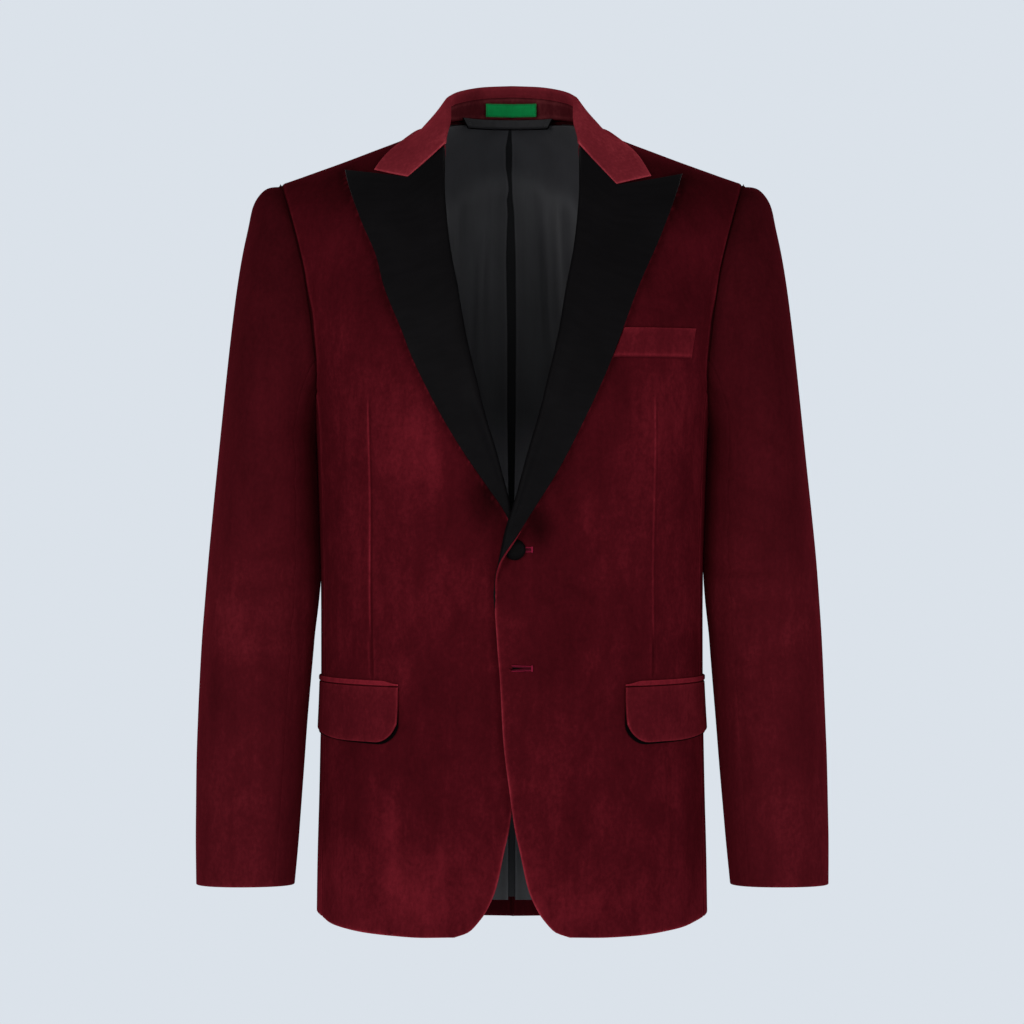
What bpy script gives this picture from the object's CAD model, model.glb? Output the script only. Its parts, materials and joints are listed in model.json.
"""Looks of a man's velvet smoking jacket, worn by nobody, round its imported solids.

Frame: metres, +Z up, the front faces -Y, the wearer's left is +X. The tables are in millimetres, as in the
solids' own source: every cloth here is a fine shell on the same curves, with its seams, rolled edges and folds.
"""

import json
import math

import bmesh
import bpy
import numpy as np
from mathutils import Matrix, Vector

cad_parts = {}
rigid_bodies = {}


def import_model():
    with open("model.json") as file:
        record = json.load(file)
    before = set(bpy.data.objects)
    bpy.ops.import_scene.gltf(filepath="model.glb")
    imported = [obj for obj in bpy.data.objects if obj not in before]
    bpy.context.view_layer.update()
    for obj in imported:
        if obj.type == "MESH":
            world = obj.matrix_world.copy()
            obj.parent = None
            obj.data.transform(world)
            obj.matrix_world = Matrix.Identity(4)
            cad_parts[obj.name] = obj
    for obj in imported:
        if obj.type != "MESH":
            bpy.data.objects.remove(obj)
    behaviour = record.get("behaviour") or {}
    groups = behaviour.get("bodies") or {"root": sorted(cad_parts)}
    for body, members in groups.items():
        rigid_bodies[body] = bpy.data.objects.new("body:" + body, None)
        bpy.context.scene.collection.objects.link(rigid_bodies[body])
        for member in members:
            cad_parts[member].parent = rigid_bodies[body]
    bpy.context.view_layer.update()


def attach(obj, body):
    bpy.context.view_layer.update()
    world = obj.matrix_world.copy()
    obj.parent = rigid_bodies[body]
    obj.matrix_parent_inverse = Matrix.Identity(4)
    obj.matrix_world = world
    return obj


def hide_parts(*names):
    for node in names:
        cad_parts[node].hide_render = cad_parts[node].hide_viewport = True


for leftover in list(bpy.data.objects):
    bpy.data.objects.remove(leftover, do_unlink=True)
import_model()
MM = 0.001

# ---------------------------------------------------------------- driving sizes, mm
SHELL = 2.0  # velvet with its canvas
SLEEVE = 1.8
LAPEL = 1.8
COLLAR = 1.8
STAND = 1.5
LINING = 1.0
FLAP = 2.0
JET = 1.2
WELT = 1.4
TAPE = 1.0
LABEL = 0.8
SEAM = 0.18  # each panel stops this far short of its seam line
SLEEVE_SET = 0.1  # the sleeve head starts this far outside the armhole edge
LAPEL_LIFT = 1.5  # inner face of the lapel above the front
COLLAR_LIFT = 1.3
LINING_IN = 6.0  # outer face of the lining inside the form
PLEAT_IN = 3.7
OVERLAP_DROP = 7.2  # how far the under front sits behind the over front
HEM_TURN = 16.0  # velvet turned up inside the back hem, below the lining
BUTTON_R = 9.6
BUTTON_H = 4.0
SHANK_R = 1.1
BUTTON_X = 2.7
BUTTON_Z = (-383.0, -490.5)
BUTTONHOLE = (19.0, 2.2)  # length, height of the cut
POWER = 2.3  # of the superellipse body sections
SLEEVE_POWER = 2.15
FOLD_RADIUS = 3.2  # of the collar's fold
BAND = 8.5  # the collar leaf goes this far down inside the fold
COLLAR_BREAK = 0.41  # share of the collar's front end, and of the lapel's top, where they part at the gorge
LAPEL_BREAK = 0.44
GORGE_GAP = 0.5  # between the collar's end and the top of the lapel

# Body sections: height, half width, depth in front of the side line, depth behind it, side line's own y.
BODY = [
    # z, half_width, front, back, y_mid
    (60, 238, 48, 106, 8),
    (20, 233, 62, 112, 8),
    (-15, 228, 72, 115, 8),
    (-50, 221, 83, 119, 7),
    (-100, 210.5, 102, 125, 5),
    (-156, 201, 119, 128, 3),
    (-210, 191, 130, 127, 1),
    (-260, 183, 135, 122, 0),
    (-340, 179.5, 132, 111, 0),
    (-450, 177.2, 127, 104, 0),
    (-520, 177.4, 128, 108, 0),
    (-600, 178.8, 130, 116, 0),
    (-672, 180.4, 132, 123, 0),
    (-740, 181.4, 133.5, 127.5, 0),
]
# Top line of the shoulder seen from the front, and the radius that it rolls over with, by distance from the centre.
RIDGE = [(0, 43), (6, 42.9), (30, 37), (60, 20), (68, 14.8), (80, 8.0), (97, -0.8), (111.6, -6.7), (126.5, -12.3), (156, -23.4), (188, -34.8), (205, -40.8), (222, -46.6), (245, -54)]
ROLL = [(0, 86), (6, 86), (68, 84), (150, 74), (230, 62)]

# Front edge of each front from the hem up to where the lapel breaks: distance past the centre, height.
EDGE = [(52.2, -733.6), (39.6, -729.0), (30.5, -720), (23.4, -710), (14.4, -689), (8.1, -661), (1.8, -632), (-1.2, -611), (-8.1, -554), (-11.1, -500), (-13.4, -471), (-15.9, -424)]
# Roll line of the lapel, from the break up to the gorge.
ROLL_LINE = [(-15.9, -424), (-14.4, -404), (-11.2, -388), (-6.3, -365), (0.9, -342.7), (5.4, -326.5), (14.4, -293), (26.1, -252.7), (29.9, -236.5), (42, -185), (49, -144), (55.8, -108.6), (59.6, -76), (61.4, -48), (61.5, -14)]
# Neckline of the front from the roll line's top to the neck end of the shoulder seam, and of the back from there to the centre.
NECK_FRONT = [(61.5, -14), (63.5, -2), (66, 8), (68, 14.8)]
NECK_BACK = [(0, 21), (22, 20.8), (42, 19.8), (57, 17.6), (68, 14.8)]
# The armhole by section angle (0 front centre, 90 side, 180 back centre) and height.
ARMHOLE_FRONT = [(74.5, -236), (71.4, -222), (68.6, -190), (67.2, -158), (67.2, -134), (68.9, -104), (70.6, -81), (72.2, -62), (73.6, -49.5)]
ARMHOLE_UNDER = [(74.5, -236), (78, -246), (83, -254), (90, -258), (97, -254), (102, -246), (106, -236)]
ARMHOLE_BACK = [(106, -236), (108.6, -222), (111.6, -190), (113.2, -158), (113.2, -134), (111.6, -104), (109.4, -81), (107.8, -62), (106.4, -49.5)]
SHOULDER_TIP = 214.5
# Seams of the side panel, by height and section angle, and the hem by section angle and height.
SEAM_FRONT = [(-722, 76.4), (-600, 75.8), (-450, 75.0), (-320, 74.6), (-236, 74.5)]
SEAM_BACK = [(-722, 110), (-600, 109), (-450, 107), (-320, 106), (-236, 106)]
HEM = [(0, -733.8), (14, -734.2), (25, -735.0), (35, -734.2), (41, -733.2), (52, -730.8), (62, -728.0), (71, -725.0), (79, -722.0), (90, -719.6), (104, -721.0), (115, -724), (135, -731), (158, -734.2), (180, -735)]

# Outer edge of each lapel from the break up to the peak. The under one (the wearer's right) breaks a little higher.
LAPEL_EDGE = {
    1: [(-15.2, -424), (-13.6, -404), (-8.4, -391), (-0.9, -379), (7.9, -365), (21.2, -344), (42, -310.5), (66.3, -262.3), (84.2, -223.5), (98, -188), (113.4, -147), (136, -95), (153.8, -47), (156.2, -39.2)],
    -1: [(-13.9, -424), (-10.5, -400), (-6.0, -382), (4.6, -353.5), (22.8, -326), (42, -297.5), (71, -248), (94.2, -199), (97.2, -190.5), (116.4, -142), (122.8, -117), (136.5, -85), (150.5, -47), (153.6, -34.8)],
}
GORGE = {1: (95.6, -50.4), -1: (95.3, -43.6)}  # where the lapel's top edge meets the collar
COLLAR_CORNER = {1: (127.4, -41.6), -1: (126.2, -35.6)}
# The collar round the neck from its front end (0) to the back centre (1). The outer edge and the neck seam lie
# on the body: distance from the centre, and degrees over the shoulder (front negative). The fold stands free.
COLLAR_RING = [
    # share, edge_x, edge_turn, neck_x, neck_turn, fold_x, fold_y, fold_z
    (0.00, 126.8, -49.0, 61.5, -52.8, 61.5, -54.5, -9.5),
    (0.16, 116.0, -33.0, 62.5, -37.2, 61.6, -31.0, 12.0),
    (0.34, 93.0, -10.0, 67.5, -2.0, 62.6, 2.0, 33.0),
    (0.50, 77.0, 15.0, 61.5, 12.0, 57.0, 31.0, 41.0),
    (0.66, 61.0, 34.0, 47.5, 24.8, 45.6, 54.0, 46.6),
    (0.82, 37.0, 49.0, 25.5, 36.9, 25.5, 71.0, 50.8),
    (1.00, 0.0, 54.0, 0.0, 42.9, 0.0, 77.0, 52.2),
]

# Sleeve sections: height, outer and inner distance from the centre, front and back depth.
SLEEVES = [
    # z, outer, inner, y_front, y_back
    (-282, 271.4, 184.2, -68, 74),
    (-320, 275.2, 182.2, -67, 70),
    (-356, 278.8, 180.9, -67, 66),
    (-394, 282.4, 180.5, -68, 61),
    (-431, 285.2, 181.2, -70, 55),
    (-468, 287.6, 183.4, -72, 49),
    (-505, 289.2, 186.2, -74, 43),
    (-542, 290.4, 189.0, -76, 37),
    (-580, 291.4, 191.6, -77, 31),
    (-617, 291.8, 194.4, -77, 26),
    (-654, 292.2, 197.4, -76.5, 22),
    (-692.6, 292.0, 201.2, -75, 18.5),
]
CAP_END = -282
CAP_SHARE = 0.42  # of the sleeve's rows
SLEEVE_SEAMS = (128, 285)  # front and back sleeve seams, degrees round the sleeve from its outer side by the front

# Pockets: ends of the mouth, depth of the flap in front and behind, and its corner radii.
POCKET_FRONT = (102.7, -507.6)
POCKET_REAR = (93.5, -504.2)
POCKET_LENGTH = 148.0
FLAP_DROP = (51.0, 44.0)
FLAP_CORNER = (18.0, 11.0)
JET_HEIGHT = 4.9
WELT_BOX = ((101.4, -181.8, 167.2, -181.2), (91.0, -208.8, 163.2, -208.7))  # upper and lower edge: x, z at both ends
PLEAT_GAP = (4.0, 3.2)  # half widths of the dark pleat
PLEAT_STRIP = 15.0
LOOP = (-50.5, 42.0, 13.0, 21.4, 4.7)  # left, right, bottom, top, slant of the ends
LABEL_BOX = (-24.4, 22.8, 23.9, 36.2)


# ---------------------------------------------------------------- curves
def smooth_through(xs, ys):
    """A monotone cubic through a table: it never swings past its own rows."""
    xs, ys = np.asarray(xs, float), np.asarray(ys, float)
    if xs[0] > xs[-1]:
        xs, ys = xs[::-1], ys[::-1]
    h = np.diff(xs)
    shape = (len(h),) + (1,) * (ys.ndim - 1)
    slope = np.diff(ys, axis=0) / h.reshape(shape)
    m = np.zeros_like(ys)
    m[0], m[-1] = slope[0], slope[-1]
    for i in range(1, len(xs) - 1):
        a, b = slope[i - 1], slope[i]
        w1, w2 = 2 * h[i] + h[i - 1], h[i] + 2 * h[i - 1]
        with np.errstate(divide="ignore", invalid="ignore"):
            mean = (w1 + w2) / (w1 / a + w2 / b)
        m[i] = np.where(a * b > 0, mean, 0.0)

    def value(x):
        x = np.clip(np.asarray(x, float), xs[0], xs[-1])
        i = np.clip(np.searchsorted(xs, x, side="right") - 1, 0, len(h) - 1)
        extra = (...,) + (None,) * (ys.ndim - 1)
        d = h[i][extra]
        t = ((x - xs[i]) / h[i])[extra]
        return (2 * t**3 - 3 * t**2 + 1) * ys[i] + (t**3 - 2 * t**2 + t) * d * m[i] + (-2 * t**3 + 3 * t**2) * ys[i + 1] + (t**3 - t**2) * d * m[i + 1]

    return value


def along(points, scale=(1.0, 1.0)):
    """A smooth path through points, by share of its length from 0 to 1."""
    p = np.asarray(points, float)
    step = np.linalg.norm(np.diff(p, axis=0) * np.asarray(scale), axis=1)
    at = np.concatenate([[0], np.cumsum(step)])
    return smooth_through(at / at[-1], p)


def join(*parts):
    """Tables end to end, without the repeated rows."""
    out = list(parts[0])
    for p in parts[1:]:
        out += list(p)[1:]
    return out


def ramp(x, lo, hi):
    t = np.clip((x - lo) / (hi - lo), 0, 1)
    return t * t * (3 - 2 * t)


def shares(count, start=(), end=()):
    """Even shares from 0 to 1, with extra ones near the start and the end."""
    return np.unique(np.concatenate([np.linspace(0, 1, count + 1), start, 1 - np.asarray(end, float)]))


# ---------------------------------------------------------------- the body's form
_rows = np.array(BODY, float)
body_at = smooth_through(_rows[:, 0], _rows[:, 1:])
ridge = smooth_through([r[0] for r in RIDGE], [r[1] for r in RIDGE])
roll = smooth_through([r[0] for r in ROLL], [r[1] for r in ROLL])
hem = smooth_through([h[0] for h in HEM], [h[1] for h in HEM])


def form(angle, z):
    """Point of the body on the +X half by section angle in degrees and height; a negative angle is past the front centre."""
    angle, z = np.broadcast_arrays(np.asarray(angle, float), np.asarray(z, float))
    b = body_at(z)
    w, front, back, mid = b[..., 0], b[..., 1], b[..., 2], b[..., 3]
    a = np.radians(angle)
    s, c = np.sin(a), np.cos(a)
    x = w * np.sign(s) * np.abs(s) ** (2 / POWER)
    tau = np.clip((ridge(np.abs(x)) - z) / roll(np.abs(x)), 0, 1)
    lift = np.sqrt(np.clip(1 - (1 - tau) ** 2, 0, 1))
    y = mid + np.where(c > 0, -front, back) * np.abs(c) ** (2 / POWER) * lift
    return np.stack([x, y, z], -1)


def angle_of(x, z, behind=False):
    w = body_at(z)[..., 0]
    a = np.degrees(np.arcsin(np.clip(np.abs(x) / w, 0, 1) ** (POWER / 2)))
    return np.where(behind, 180 - a, np.sign(x) * a)


def to_angles(table):
    return [(float(angle_of(x, z)), z) for x, z in table]


def turn_of(x, z):
    """Degrees over the shoulder of a point of the front, from 0 on the ridge to -90."""
    return -np.degrees(np.arccos(np.clip(1 - (ridge(np.abs(x)) - z) / roll(np.abs(x)), -1, 1)))


def over(x, turn):
    """Point of the body by distance from the centre and degrees over the shoulder."""
    x, turn = np.broadcast_arrays(np.asarray(x, float), np.asarray(turn, float))
    t = np.radians(turn)
    z = ridge(np.abs(x)) - roll(np.abs(x)) * (1 - np.cos(t))
    b = body_at(z)
    w, front, back, mid = b[..., 0], b[..., 1], b[..., 2], b[..., 3]
    flat = np.clip(1 - (np.abs(x) / w) ** POWER, 0, 1) ** (1 / POWER)
    y = mid + np.where(turn < 0, front, back) * flat * np.sin(t)
    return np.stack([x, y, z], -1)


def unit(v):
    return v / np.maximum(np.linalg.norm(v, axis=-1, keepdims=True), 1e-9)


def over_out(x, turn, off):
    """The same, moved out from the body along its normal."""
    e, d = 0.5, 0.4
    n = np.cross(over(x + e, turn) - over(x - e, turn), over(x, turn + d) - over(x, turn - d))
    n = unit(n)
    return over(x, turn) + n * np.where(n[..., 2:3] < 0, -1.0, 1.0) * np.asarray(off, float)[..., None]


def on_front(x, z, off):
    """A point of the front's form by distance from the centre and height, moved out."""
    e = 0.5

    def y(x, z):
        return form(angle_of(x, z), z)[..., 1]

    fx = (y(x + e, z) - y(x - e, z)) / (2 * e)
    fz = (y(x, z + e) - y(x, z - e)) / (2 * e)
    n = unit(np.stack([fx, -np.ones_like(fx), fz], -1))
    return np.stack([x, y(x, z), z], -1) + n * np.asarray(off, float)[..., None]


def on_body(angle, z, off):
    """A point of the form by section angle and height, moved out."""
    n = unit(np.cross(form(angle + 0.4, z) - form(angle - 0.4, z), form(angle, z + 1) - form(angle, z - 1)))
    p = form(angle, z)
    out = np.sign(np.sum(n * p * np.array([1, 1, 0.0]), axis=-1, keepdims=True))
    return p + n * out * np.asarray(off, float)[..., None]


# ---------------------------------------------------------------- panels as functions of two shares
def coons(bottom, top, inner, outer):
    """A patch between four paths, in the plane of section angle and height."""
    zero, one = np.array(0.0), np.array(1.0)
    c00, c10, c01, c11 = bottom(zero), bottom(one), top(zero), top(one)

    def at(s, t):
        s, t = np.broadcast_arrays(np.asarray(s, float), np.asarray(t, float))
        b, u, i, o = bottom(s), top(s), inner(t), outer(t)
        s, t = s[..., None], t[..., None]
        return (1 - s) * i + s * o + (1 - t) * b + t * u - ((1 - s) * (1 - t) * c00 + s * (1 - t) * c10 + (1 - s) * t * c01 + s * t * c11)

    return at


PANEL_LENGTH = 690.0
TURN_RADIUS = 74.0


def over_the_shoulder(t):
    """Rows crowd towards the shoulder seam, where the cloth rolls over."""
    quarter = TURN_RADIUS * math.pi / 2
    u = (1 - t) * (PANEL_LENGTH - TURN_RADIUS + quarter)
    drop = np.where(u < quarter, TURN_RADIUS * (1 - np.cos(np.minimum(u, quarter) / TURN_RADIUS)), TURN_RADIUS + (u - quarter))
    return 1 - drop / PANEL_LENGTH


TIP = (float(angle_of(SHOULDER_TIP, ridge(SHOULDER_TIP))), float(ridge(SHOULDER_TIP)))


def front_patch(roll_line=ROLL_LINE):
    inner = along(to_angles(join(EDGE, roll_line, NECK_FRONT)), (2.4, 1))
    seam = [(a, z) for z, a in SEAM_FRONT]
    outer = along(join(seam, ARMHOLE_FRONT, [ARMHOLE_FRONT[-1], TIP]), (2.4, 1))
    a0, a1 = to_angles(EDGE[:1])[0][0], seam[0][0]

    def bottom(s):
        a = a0 + (a1 - a0) * s
        return np.stack([a, hem(a)], -1)

    def top(s):
        x = 68 + (SHOULDER_TIP - 68) * s
        return np.stack([angle_of(x, ridge(x)), ridge(x)], -1)

    patch = coons(bottom, top, inner, outer)

    def at(s, t):
        p = patch(s, over_the_shoulder(np.asarray(t, float)))
        return form(p[..., 0], p[..., 1])

    return at


def side_patch():
    seam_f = along([(a, z) for z, a in SEAM_FRONT], (2.4, 1))
    seam_b = along([(a, z) for z, a in SEAM_BACK], (2.4, 1))
    under = along(ARMHOLE_UNDER, (2.4, 1))
    a0, a1 = SEAM_FRONT[0][1], SEAM_BACK[0][1]

    def bottom(s):
        a = a0 + (a1 - a0) * s
        return np.stack([a, hem(a)], -1)

    patch = coons(bottom, under, seam_f, seam_b)

    def at(s, t):
        p = patch(s, np.asarray(t, float))
        return form(p[..., 0], p[..., 1])

    return at


def back_patch(hem_up=0.0):
    seam = [(a, z) for z, a in SEAM_BACK]
    outer = along(join(seam, ARMHOLE_BACK, [ARMHOLE_BACK[-1], (180 - TIP[0], TIP[1])]), (2.4, 1))
    a0 = SEAM_BACK[0][1]
    split = 0.30
    neck = along(NECK_BACK)
    low, high = float(hem(180.0)), NECK_BACK[0][1]

    def bottom(s):
        a = 180 + (a0 - 180) * s
        return np.stack([a, hem(a)], -1)

    def top(s):
        n = neck(np.clip(s / split, 0, 1))
        x = np.where(s < split, n[..., 0], 68 + (SHOULDER_TIP - 68) * (s - split) / (1 - split))
        z = np.where(s < split, n[..., 1], ridge(x))
        return np.stack([angle_of(x, z, True), z], -1)

    def inner(t):
        return np.stack([np.full_like(t, 180.0), low + (high - low) * t], -1)

    patch = coons(bottom, top, inner, outer)

    def at(s, t):
        t = np.asarray(t, float)
        p = patch(s, over_the_shoulder(t))
        z = p[..., 1] + hem_up * (1 - ramp(t, 0, 0.5))
        return form(p[..., 0], z)

    return at


def axis_of_body(p):
    return p * np.array([0, 0, 1.0])


def normals(at, s, t, centre):
    """Unit normals of a patch, all facing away from centre, a function of the points."""
    e = 2e-3
    ds = at(np.clip(s + e, 0, 1), t) - at(np.clip(s - e, 0, 1), t)
    dt = at(s, np.clip(t + e, 0, 1)) - at(s, np.clip(t - e, 0, 1))
    n = unit(np.cross(ds, dt))
    p = at(s, t)
    return n * (1.0 if np.sum(n * (p - centre(p))) > 0 else -1.0)


def moved_out(at, off, centre=axis_of_body):
    """A patch moved out along its normals by off, a number or a function of both shares."""

    def out(s, t):
        s, t = np.broadcast_arrays(np.asarray(s, float), np.asarray(t, float))
        d = off(s, t) if callable(off) else np.full(s.shape, float(off))
        return at(s, t) + normals(at, s, t, centre) * d[..., None]

    return out


# ---------------------------------------------------------------- sleeves
_s = np.array(SLEEVES, float)
sleeve_at = smooth_through(_s[:, 0], _s[:, 1:])


def sleeve_section(turn, z):
    """Point of the +X sleeve by degrees round from its outer side by the front, and height."""
    q = sleeve_at(z)
    a = np.radians(turn)
    cx, rx = (q[..., 0] + q[..., 1]) / 2, (q[..., 0] - q[..., 1]) / 2
    cy, ry = (q[..., 2] + q[..., 3]) / 2, (q[..., 3] - q[..., 2]) / 2
    c, s = np.cos(a), np.sin(a)
    k = 2 / SLEEVE_POWER
    x = cx + rx * np.sign(c) * np.abs(c) ** k
    y = cy - ry * np.sign(s) * np.abs(s) ** k
    return np.stack([x, y, np.broadcast_to(z, x.shape)], -1)


def armhole_loop(front, side, back):
    """The armhole edge by degrees round the sleeve: 0 at the shoulder, 90 in front, 180 under the arm."""
    t = np.linspace(0, 1, 900)
    one = np.ones_like(t)
    f, b, u = front(one, t), back(one, t), side(np.linspace(0, 1, 60), np.ones(60))
    pts = np.concatenate([f[f[:, 2] > -236][::-1], u, b[b[:, 2] > -236]])
    at = np.concatenate([[0], np.cumsum(np.linalg.norm(np.diff(pts, axis=0), axis=1))])
    low = at[int(np.argmin(pts[:, 2]))]
    share = np.where(at <= low, 180 * at / low, 180 + 180 * (at - low) / (at[-1] - low))

    def value(turn):
        turn = np.asarray(turn, float) % 360
        return np.stack([np.interp(turn, share, pts[:, k]) for k in range(3)], -1)

    return value


def sleeve(armhole, turn, t):
    """The whole sleeve by degrees round it and share down it."""
    turn, t = np.broadcast_arrays(np.asarray(turn, float), np.asarray(t, float))
    a = np.radians(turn)
    start = armhole(turn) + np.array([SLEEVE_SET, 0, 0])
    end = sleeve_section(turn, np.full(turn.shape, float(CAP_END)))
    below = sleeve_section(turn, np.full(turn.shape, float(CAP_END) - 4))
    up = unit(end - below)
    span = np.linalg.norm(end - start, axis=-1)[..., None]
    top = np.clip(np.cos(a), 0, 1)[..., None]
    under = np.clip(-np.cos(a), 0, 1)[..., None]
    fore = np.sin(a)[..., None]
    lead = unit(np.concatenate([0.25 + top + 0.6 * np.abs(fore), -0.55 * fore, 0.06 * top - 1.2 * under - 0.2 * np.abs(fore)], -1))
    p1 = start + lead * (0.14 * span + 3 * np.abs(fore))
    p2 = end + up * (0.62 * top + 0.42 * (1 - top)) * span * (1 - 0.25 * under)
    u = np.clip(t / CAP_SHARE, 0, 1)[..., None]
    cap = (1 - u) ** 3 * start + 3 * u * (1 - u) ** 2 * p1 + 3 * u * u * (1 - u) * p2 + u**3 * end
    z = CAP_END + (SLEEVES[-1][0] - CAP_END) * np.clip((t - CAP_SHARE) / (1 - CAP_SHARE), 0, 1)
    return np.where((t < CAP_SHARE)[..., None], cap, sleeve_section(turn, z))


def axis_of_sleeve(p):
    q = sleeve_at(np.clip(p[..., 2], SLEEVES[-1][0], CAP_END))
    return np.stack([(q[..., 0] + q[..., 1]) / 2 - 12 * ramp(p[..., 2], -250, -60), (q[..., 2] + q[..., 3]) / 2, p[..., 2] - 30 * ramp(p[..., 2], -250, -60)], -1)


# ---------------------------------------------------------------- lapels and collar
def broken(points, share, at):
    """A line through three points that turns at the second, reached at the given share."""
    a, b, c = (np.asarray(p, float) for p in points)
    at = np.asarray(at, float)[..., None]
    return np.where(at < share, a + (b - a) * at / share, b + (c - b) * (at - share) / (1 - share))


def sink(x, z):
    """How far the under front drops back as it nears and passes the centre line."""
    return OVERLAP_DROP * (1 - ramp(x, 12, 58)) * (1 - ramp(z, -330, -250))


def lapel_patch(side_sign):
    fold = along(ROLL_LINE)
    edge = along(LAPEL_EDGE[side_sign])
    tops = (ROLL_LINE[-1], GORGE[side_sign], LAPEL_EDGE[side_sign][-1])
    a1, b1 = np.array(tops[0], float), np.array(tops[2], float)

    def at(s, t):
        s, t = np.broadcast_arrays(np.asarray(s, float), np.asarray(t, float))
        a, b = fold(t), edge(t)
        u = s[..., None]
        bend = broken(tops, LAPEL_BREAK, s) - ((1 - u) * a1 + u * b1)
        p = (1 - u) * a + u * b + bend * np.clip((t[..., None] - 0.72) / 0.28, 0, 1) ** 2
        x, z = p[..., 0], p[..., 1]
        lift = LAPEL_LIFT + LAPEL + 3.0 * np.exp(-(((s - 0.10) / 0.16) ** 2)) * ramp(t, 0.0, 0.3) * (1 - 0.6 * ramp(t, 0.8, 1.0)) * (ramp(x, -4, 26) if side_sign < 0 else 1.0)
        if side_sign > 0:
            near = np.hypot(x - BUTTON_X, z - BUTTON_Z[0])
            lift = lift + 4.2 * (1 - ramp(near, 9.0, 34.0))
        else:
            lift = lift - sink(x, z)
        return on_front(x, z, lift)

    return at


_c = np.array(COLLAR_RING, float)
collar_at = smooth_through(_c[:, 0], _c[:, 1:])
COLLAR_SHARES = (0.74, 0.88)  # of the collar's cross-section: end of the leaf, end of the fold's turn
TURN_FROM = 32.0


def fold_radius(k):
    return (FOLD_RADIUS * (0.42 + 0.58 * ramp(k, 0.0, 0.22)))[..., None]


def band_length(k):
    return (BAND * (0.05 + 0.95 * ramp(k, 0.02, 0.30)))[..., None]


def stand_way(k):
    """Fold point, outward direction, start of the band inside and its direction down, at a share round the neck."""
    q = collar_at(k)
    f = q[..., 4:7]
    out = unit(f * np.array([1, 1, 0.0]))
    a = math.radians(TURN_FROM)
    up = np.array([0, 0, 1.0])
    centre = f - fold_radius(k) * (math.cos(a) * out + math.sin(a) * up)
    inside = centre - fold_radius(k) * out
    neck = over(q[..., 2], q[..., 3]) - out * 4.5
    return f, out, centre, inside, unit(neck - inside), neck


def collar(s, v):
    """s from the leaf's outer edge (0) over the fold to the band's seam (1); v from -1 to 1 round the neck."""
    s, v = np.broadcast_arrays(np.asarray(s, float), np.asarray(v, float))
    k = 1 - np.abs(v)
    sign = np.where(v < 0, -1.0, 1.0)
    q = collar_at(k)
    leaf, turned = COLLAR_SHARES
    u = np.clip(s / leaf, 0, 1)
    x = q[..., 0] + (q[..., 2] - q[..., 0]) * u
    turn = q[..., 1] + (q[..., 3] - q[..., 1]) * u
    ends = []
    for side_sign in (1, -1):
        line = broken((COLLAR_CORNER[side_sign], GORGE[side_sign], ROLL_LINE[-1]), COLLAR_BREAK, u)
        line = line + np.array([0, GORGE_GAP])
        ends.append((line[..., 0], turn_of(line[..., 0], line[..., 1])))
    ex = np.where(sign > 0, ends[0][0], ends[1][0])
    et = np.where(sign > 0, ends[0][1], ends[1][1])
    q0 = collar_at(np.zeros_like(k))
    flat = 1 - ramp(k, 0.0, 0.24)
    x = x + (ex - (q0[..., 0] + (q0[..., 2] - q0[..., 0]) * u)) * flat
    turn = turn + (et - (q0[..., 1] + (q0[..., 3] - q0[..., 1]) * u)) * flat
    off = np.full(s.shape, COLLAR_LIFT + COLLAR)
    surface = over_out(x, turn, off)
    f, out, centre, inside, down, _ = stand_way(k)
    base = over_out(q[..., 2], q[..., 3], off)
    g = (u ** (1.8 + ramp(k, 0.12, 0.3) * (1 - ramp(k, 0.6, 0.85))))[..., None]
    p = surface + g * (f - base)
    a = np.radians(TURN_FROM + (180 - TURN_FROM) * np.clip((s - leaf) / (turned - leaf), 0, 1))[..., None]
    arc = centre + fold_radius(k) * (np.cos(a) * out + np.sin(a) * np.array([0, 0, 1.0]))
    w = np.clip((s - turned) / (1 - turned), 0, 1)[..., None]
    band = inside + down * band_length(k) * w
    p = np.where((s > leaf)[..., None], arc, p)
    p = np.where((s > turned)[..., None], band, p)
    return p * np.stack([sign, np.ones_like(k), np.ones_like(k)], -1)


def stand(s, v):
    """The collar stand, inside: from just under the leaf's seam (0) to the neck seam (1)."""
    s, v = np.broadcast_arrays(np.asarray(s, float), np.asarray(v, float))
    k = 1 - np.abs(v)
    f, out, centre, inside, down, neck = stand_way(k)
    top = inside + down * (band_length(k) - 0.9) + out * 0.7
    foot = neck + down * 0.8
    p = top + (foot - top) * s[..., None]
    return p * np.stack([np.where(v < 0, -1.0, 1.0), np.ones_like(k), np.ones_like(k)], -1)


# ---------------------------------------------------------------- lining, loop, label
def lining_half(lining_in, side_sign):
    gap = PLEAT_GAP[1] if side_sign > 0 else PLEAT_GAP[0]

    def at(s, t):
        s, t = np.broadcast_arrays(np.asarray(s, float), np.asarray(t, float))
        p = lining_in(s * 0.965, t * 0.9985)
        x = np.maximum(p[..., 0], 0)
        return np.stack([x + gap * (1 - np.clip(x / 60, 0, 1)), p[..., 1], p[..., 2]], -1)

    return at


def inside_back(x, z, depth):
    """A point inside the back by distance from the centre and height."""
    e = 0.5

    def y(x, z):
        return form(angle_of(np.abs(x), z, True), z)[..., 1]

    fx = (y(x + e, z) - y(x - e, z)) / (2 * e)
    fz = (y(x, z + e) - y(x, z - e)) / (2 * e)
    n = unit(np.stack([-fx, np.ones_like(fx), -fz], -1))
    return np.stack([x, y(x, z), z], -1) - n * np.asarray(depth, float)[..., None]


def pleat(s, t):
    s, t = np.broadcast_arrays(np.asarray(s, float), np.asarray(t, float))
    low = HEM[-1][1] + HEM_TURN + 3
    z = low + (NECK_BACK[0][1] - 3 - low) * t
    return inside_back(PLEAT_STRIP * (2 * s - 1), z, PLEAT_IN + 0 * s)


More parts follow.
